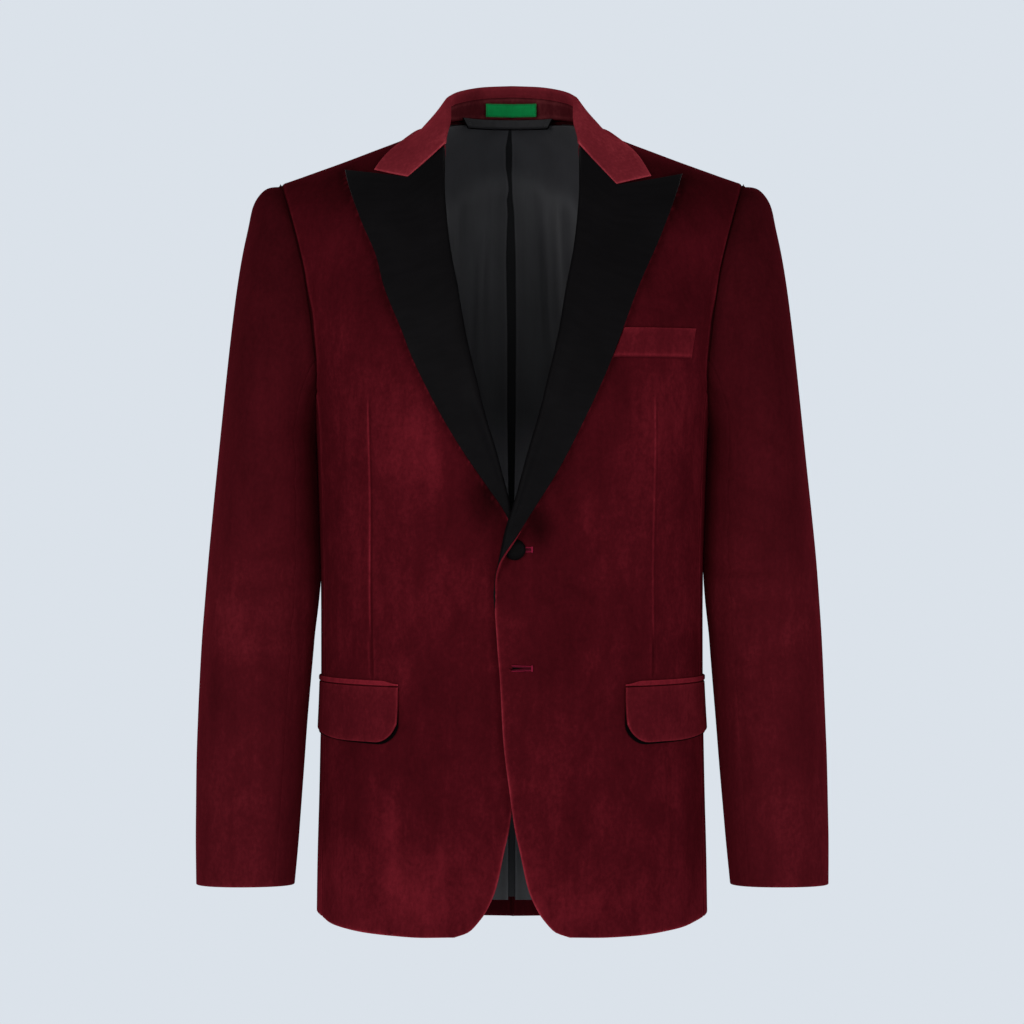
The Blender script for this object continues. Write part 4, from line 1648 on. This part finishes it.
CORNER = (0.08, 0.25, 0.5, 0.85, 1.3, 1.9, 2.7, 3.7, 5.0, 6.6, 8.6, 11.0, 14.0, 18.0)
for name, sign in SIDES:
    edges = ("free",) * 4
    SHEETS[f"flap_{name}"] = shell(
        f"flap_{name}_velvet", on_pocket(flap, sign), rows(POCKET_LENGTH, CORNER, CORNER[:11], 3.0), rows(50.0, FREE[:4], FREE, 2.4), 2.3, [VELVET_TRIM, SLEEVE_LINING], axis_of_body, sign, edges,
        lambda p, gs, gt: 1.6 * gt**2 * np.exp(-((gs / 0.22) ** 2)) + 0.5 * np.sin(gs * 8 + sign) * gt - 1.4 * ramp(gs, 0.6, 0.95),
        lambda p, n, d, sign=sign: np.clip((1.08 if sign > 0 else 1.0) + edge_light(d, edges, 0.32) - 0.15 * np.exp(-((d[2] / 2.5) ** 2)), 0.3, 2.0), (POCKET_LENGTH, 50.0), lambda p, d: np.ones(p.shape[:2], bool),
    )
    shell(
        f"flap_{name}_underside", on_pocket(under_flap, sign), rows(POCKET_LENGTH, CORNER, CORNER[:11], 4.0), rows(50.0, FREE[1:4], FREE, 4.0), 0.6, [UNDERSIDE], axis_of_body, sign, edges,
        None, lambda p, n, d: np.ones(p.shape[:2]), (POCKET_LENGTH, 50.0),
    )
    SHEETS[f"jet_{name}"] = shell(
        f"jet_{name}_velvet", on_pocket(short_jet, sign), rows(POCKET_LENGTH, FREE, FREE, 3.0), rows(JET_HEIGHT, FREE[:5], FREE[:5], 0.7), 1.5, [VELVET_JET], axis_of_body, sign, edges,
        lambda p, gs, gt: 0.35 * np.sin(np.pi * gt), plain_tone(1.0, edges, 0.2), (POCKET_LENGTH, JET_HEIGHT),
    )
edges = ("seam", "seam", "seam", "free")
SHEETS["breast_welt"] = shell(
    "breast_welt_velvet", lambda s, t: welt(s, t) + np.array([0, -1, 0]) * body_folds(welt(s, t), 1)[..., None], rows(72.0, SEAMED, SEAMED, 2.4), rows(27.0, SEAMED, FREE, 2.0), 1.7, [VELVET_TRIM], axis_of_body, 1, (0.5, 0.5, 0.6, "free"),
    lambda p, gs, gt: 0.9 * gt**3 + 0.3 * np.sin(gs * 5) * gt,
    lambda p, n, d: np.clip(0.97 + edge_light(d, ("free", "free", "seam", "free"), 0.22), 0.3, 2.0), (72.0, 27.0),
)


# ---------------------------------------------------------------- buttons and buttonholes
def front_y(x, z):
    return float(on_front(np.array(float(x)), np.array(float(z)), np.array(0.0))[1])


def covered_button(name, x, z, back_y, flat=1.0):
    """Satin drawn over a domed core and gathered behind it."""
    r, h = BUTTON_R, BUTTON_H * flat
    profile = [(0.0, h), (0.18, h * 0.998), (0.36, h * 0.985), (0.52, h * 0.95), (0.66, h * 0.885), (0.78, h * 0.79), (0.87, h * 0.67), (0.94, h * 0.52), (0.985, h * 0.35), (1.0, h * 0.2), (0.985, h * 0.07), (0.93, 0.0), (0.80, -0.12), (0.5, -0.15), (0.0, -0.15)]
    sides = 72
    verts, ang = [], np.linspace(0, 2 * np.pi, sides, endpoint=False)
    for i, (pr, ph) in enumerate(profile[1:-1]):
        rim = max(pr - 0.6, 0) / 0.4
        pucker = 0.05 * rim**3 * np.sin(ang * 18 + 0.6 * np.sin(ang * 5))
        rr = pr * r * (1 + 0.012 * rim * np.sin(ang * 3 + 1)) + pucker
        verts.append(np.stack([rr * np.cos(ang), np.full(sides, -ph) + 0.05 * np.sin(ang * 2 + 1) * (1 - pr), rr * np.sin(ang)], -1))
    rings = np.array(verts)
    pts = np.concatenate([rings.reshape(-1, 3), [[0, -profile[0][1], 0]], [[0, -profile[-1][1], 0]]])
    idx = np.arange(len(rings) * sides).reshape(len(rings), sides)
    nxt = np.roll(idx, -1, axis=1)
    quads_ = np.stack([idx[:-1], nxt[:-1], nxt[1:], idx[1:]], -1).reshape(-1, 4)
    top, bottom = len(pts) - 2, len(pts) - 1
    mesh = bpy.data.meshes.new(name)
    faces = [tuple(f) for f in quads_] + [(top, nxt[0, k], idx[0, k]) for k in range(sides)] + [(bottom, idx[-1, k], nxt[-1, k]) for k in range(sides)]
    pts = (pts + np.array([x, back_y, z])) * MM
    mesh.from_pydata(pts.tolist(), [], [tuple(int(i) for i in f) for f in faces])
    layer = mesh.uv_layers.new(name="cut")
    which = np.array([l.vertex_index for l in mesh.loops])
    layer.data.foreach_set("uv", pts[which][:, [0, 2]].astype(np.float32).ravel())
    for poly in mesh.polygons:
        poly.use_smooth = True
    if sum(f.normal.dot(f.center - f.center.__class__((x * MM, back_y * MM, z * MM))) for f in mesh.polygons) < 0:
        mesh.flip_normals()
    return object_of(name, mesh, [BUTTON_SATIN])


upper = covered_button("button_upper_satin", BUTTON_X, BUTTON_Z[0], front_y(BUTTON_X, BUTTON_Z[0]) - 0.7)
lower = covered_button("button_lower_satin", BUTTON_X, BUTTON_Z[1], front_y(BUTTON_X, BUTTON_Z[1]) + OVERLAP_DROP - 0.7)
for piece, cad in ((upper, "button_upper"), (lower, "button_lower")):
    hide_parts(cad)

cutters, sewn = [], []
for i, z in enumerate(BUTTON_Z):
    long_ = BUTTONHOLE[0]
    x0 = BUTTON_X - 3.0
    cx = x0 + long_ / 2
    y = front_y(cx, z)
    # the slit, an eye at its front end
    bm = bmesh.new()
    made = bmesh.ops.create_cube(bm, size=1.0)
    bmesh.ops.scale(bm, vec=(0.0105, 0.016, 2.6 * MM), verts=bm.verts)
    for v in bm.verts:
        if v.co.x > 0:
            v.co.z *= 0.10
    bmesh.ops.translate(bm, vec=((x0 + 6.0) * MM, y * MM, z * MM), verts=bm.verts)
    mesh = bpy.data.meshes.new(f"slit_{i}")
    bm.to_mesh(mesh)
    bm.free()
    cutter = bpy.data.objects.new(f"slit_{i}", mesh)
    bpy.context.scene.collection.objects.link(cutter)
    cut = SHEETS["front_left"].modifiers.new(f"slit_{i}", "BOOLEAN")
    cut.object, cut.operation, cut.solver = cutter, "DIFFERENCE", "EXACT"
    cutters.append(cutter)
    # purl stitches: a bar over the edge of the slit, side by side all round
    stitches, cords = [], []
    for sgn in (1, -1):
        for k in np.arange(x0 + 0.3, x0 + long_ - 0.4, 0.5):
            wob = 0.12 * math.sin(k * 3.1 + sgn)
            lip = 0.15 + 1.05 * max(1 - (k - x0 - 0.6) / 10.5, 0.0)
            path = []
            for w in np.linspace(0, 1, 6):
                zz = z + sgn * (lip + (2.5 - 0.7 * (k - x0) / long_ + wob - lip) * w)
                path.append(on_front(np.array(k + 0.12 * w * sgn), np.array(zz), np.array(-0.35 + 0.95 * math.sin(math.pi * (0.12 + 0.80 * w)))))
            stitches.append(np.array(path) + np.array([0, -0.05, 0]))
        cord = [on_front(np.array(k), np.array(z + sgn * (2.6 - 0.75 * (k - x0) / long_)), np.array(0.55 + 0.04 * math.sin(k * 2.3))) for k in np.linspace(x0, x0 + long_ - 0.5, 30)]
        cords.append(np.array(cord))
    for end, tall_ in ((x0 + long_ - 0.6, 2.7),):
        for k in np.linspace(-1.0, 1.0, 4):
            path = [on_front(np.array(end + 0.10 * k), np.array(z + w * tall_), np.array(0.45 + 0.35 * math.cos(math.pi * w / 2.2))) for w in np.linspace(-1, 1, 9)]
            cords.append(np.array(path) + np.array([0.28 * k, 0, 0]))
    for kind, paths, size, thread in (("purl", stitches, 0.26, THREAD_DEEP), ("cord", cords, 0.34, THREAD)):
        sewn.append(threads(f"buttonhole_{'upper' if i == 0 else 'lower'}_{kind}", paths, size, thread))

# the two slits go into the cloth's own mesh
over_front = SHEETS["front_left"]
whole = over_front.data
over_front.data = bpy.data.meshes.new_from_object(over_front.evaluated_get(bpy.context.evaluated_depsgraph_get()))
over_front.modifiers.clear()
bpy.data.meshes.remove(whole)
for cutter in cutters:
    bpy.data.objects.remove(cutter, do_unlink=True)


# ---- small stitches that hold the loop and the label
def tacks():
    out = []
    left_x, right_x, low, high, slant = LOOP
    for end, step in ((0.045, 1), (0.955, -1)):
        for row in range(5):
            t = 0.14 + 0.18 * row
            p = [loop(np.array(end + step * 0.008 * (k - 1.5)), np.array(t + 0.02 * k)) for k in range(4)]
            out.append(np.array(p) + np.array([0, -0.18, 0]))
    x0, x1, z0, z1 = LABEL_BOX
    for side_t in (0.045, 0.955):
        for k in np.arange(0.02, 0.985, 0.035):
            p = [label(np.array(k + 0.018 * w), np.array(side_t)) for w in (0, 0.5, 1.0)]
            out.append(np.array(p) + np.array([0, -0.12, 0]))
    for side_s in (0.012, 0.988):
        for k in np.arange(0.08, 0.9, 0.14):
            p = [label(np.array(side_s), np.array(k + 0.07 * w)) for w in (0, 0.5, 1.0)]
            out.append(np.array(p) + np.array([0, -0.12, 0]))
    return out


tack_threads = threads("neck_tacks", tacks(), 0.16, THREAD_DARK, 5)
# the loop's folded edge throws a dark line on the lining below it and past its ends
low = np.array([loop(np.array(k), np.array(-0.06)) for k in np.linspace(-0.004, 1.004, 40)]) + np.array([0, 0.55, 0])
ends = [np.array([loop(np.array(e), np.array(k)) for k in np.linspace(-0.06, 0.92, 8)]) + np.array([0, 0.5, 0]) for e in (-0.006, 1.006)]
loop_edge = threads("loop_edge", [low, *ends], 0.5, UNDERSIDE, 8)

# ---------------------------------------------------------------- what each piece is cut to, and what it stands for
for cad, piece in SHEETS.items():
    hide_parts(cad)
# Flat cuts of what shows: width, length (m) and area (m2), how the cloth is held, and what it hangs from or lies on.
CUTS = {
    "front": (0.255, 0.785, 0.146, "draped", ("side", "sleeve_top")),
    "side": (0.100, 0.500, 0.039, "draped", ("back",)),
    "back": (0.225, 0.810, 0.161, "draped", ()),
    "sleeve_top": (0.235, 0.650, 0.126, "draped", ("front", "back")),
    "sleeve_under": (0.185, 0.520, 0.078, "draped", ("side", "sleeve_top")),
    "lapel": (0.150, 0.510, 0.032, "folded", ("front",)),
    "collar_leaf": (0.090, 0.480, 0.0250, "folded", ("collar_stand",)),
    "collar_stand": (0.020, 0.300, 0.0047, "stretched", ("back",)),
    "lining_back": (0.195, 0.785, 0.143, "hung", ("back",)),
    "lining_pleat": (0.032, 0.745, 0.0226, "hung", ("lining_back",)),
    "hanger_loop": (0.010, 0.094, 0.0009, "hung", ("collar_stand",)),
    "neck_label": (0.0125, 0.0475, 0.00059, "laid", ("collar_stand",)),
    "flap": (0.052, 0.149, 0.0075, "hung", ("front",)),
    "jet": (0.011, 0.149, 0.00082, "folded", ("front",)),
    "breast_welt": (0.030, 0.078, 0.0023, "laid", ("front_left",)),
}
for cad, piece in SHEETS.items():
    side_name = cad[cad.rindex("_") + 1 :]
    kind = cad if cad in CUTS else cad[: cad.rindex("_")]
    w, l, area, held, on = CUTS[kind]
    rests = [SHEETS[n] for o in on for n in (o, f"{o}_{side_name}", f"{o}_left", f"{o}_right") if n in SHEETS and (side_name not in ("left", "right") or not n.endswith("_right" if side_name == "left" else "_left"))]
    list(dict.fromkeys(rests))


# ---------------------------------------------------------------- studio
PALE = (0.708, 0.761, 0.823)
scene = bpy.context.scene
scene.view_settings.view_transform = "Standard"
scene.view_settings.look = "None"
world = bpy.data.worlds.new("studio")
scene.world = world
world.use_nodes = True
nt = world.node_tree
nt.nodes.clear()
seen = nt.nodes.new("ShaderNodeLightPath")
pale = nt.nodes.new("ShaderNodeBackground")
pale.inputs["Color"].default_value = (*PALE, 1.0)
soft = nt.nodes.new("ShaderNodeBackground")
soft.inputs["Color"].default_value = (0.95, 0.97, 1.0, 1.0)
soft.inputs["Strength"].default_value = 0.36
mix = nt.nodes.new("ShaderNodeMixShader")
out = nt.nodes.new("ShaderNodeOutputWorld")
nt.links.new(seen.outputs["Is Camera Ray"], mix.inputs[0])
nt.links.new(soft.outputs[0], mix.inputs[1])
nt.links.new(pale.outputs[0], mix.inputs[2])
nt.links.new(mix.outputs[0], out.inputs["Surface"])

floor_mesh = bpy.data.meshes.new("floor")
bm = bmesh.new()
bmesh.ops.create_circle(bm, cap_ends=True, segments=96, radius=60.0)
bmesh.ops.translate(bm, vec=(0, 0, -1.52), verts=bm.verts)
bm.to_mesh(floor_mesh)
bm.free()
floor = bpy.data.objects.new("floor", floor_mesh)
scene.collection.objects.link(floor)
m = bpy.data.materials.new("pale_floor")
m.use_nodes = True
nt = m.node_tree
nt.nodes.clear()
glow = nt.nodes.new("ShaderNodeEmission")
glow.inputs["Color"].default_value = (*PALE, 1.0)
clear = nt.nodes.new("ShaderNodeBsdfTransparent")
facing = nt.nodes.new("ShaderNodeNewGeometry")
mix = nt.nodes.new("ShaderNodeMixShader")
out = nt.nodes.new("ShaderNodeOutputMaterial")
nt.links.new(facing.outputs["Backfacing"], mix.inputs[0])
nt.links.new(glow.outputs[0], mix.inputs[1])
nt.links.new(clear.outputs[0], mix.inputs[2])
nt.links.new(mix.outputs[0], out.inputs["Surface"])
floor_mesh.materials.append(m)


def area_light(name, place, target, size, power, colour=(1, 1, 1)):
    lamp = bpy.data.lights.new(name, "AREA")
    lamp.shape = "RECTANGLE"
    lamp.size, lamp.size_y = size
    lamp.energy = power
    lamp.color = colour
    o = bpy.data.objects.new(name, lamp)
    scene.collection.objects.link(o)
    o.location = place
    d = np.array(target, float) - np.array(place, float)
    o.rotation_mode = "QUATERNION"
    o.rotation_quaternion = Vector(d).to_track_quat("-Z", "Y")
    return o


AIM = (0, 0, -0.38)
area_light("key", (-2.3, -3.4, 0.5), AIM, (1.8, 2.4), 70)
area_light("fill", (2.5, -3.2, -0.1), AIM, (1.8, 2.4), 48)
area_light("low_front", (0.2, -3.8, -1.35), (0, 0, -0.45), (2.6, 0.9), 24)
area_light("rim_left", (-2.6, 2.4, 0.9), AIM, (1.4, 2.0), 40)
area_light("rim_right", (2.6, 2.4, 0.9), AIM, (1.4, 2.0), 40)

lens = bpy.data.cameras.new("camera")
lens.lens = 170.1
lens.sensor_width = 36.0
camera = bpy.data.objects.new("camera", lens)
camera.location = (0, -4.5, -0.349)
camera.rotation_euler = (math.radians(90), 0, 0)
scene.collection.objects.link(camera)
scene.camera = camera
bpy.context.view_layer.update()
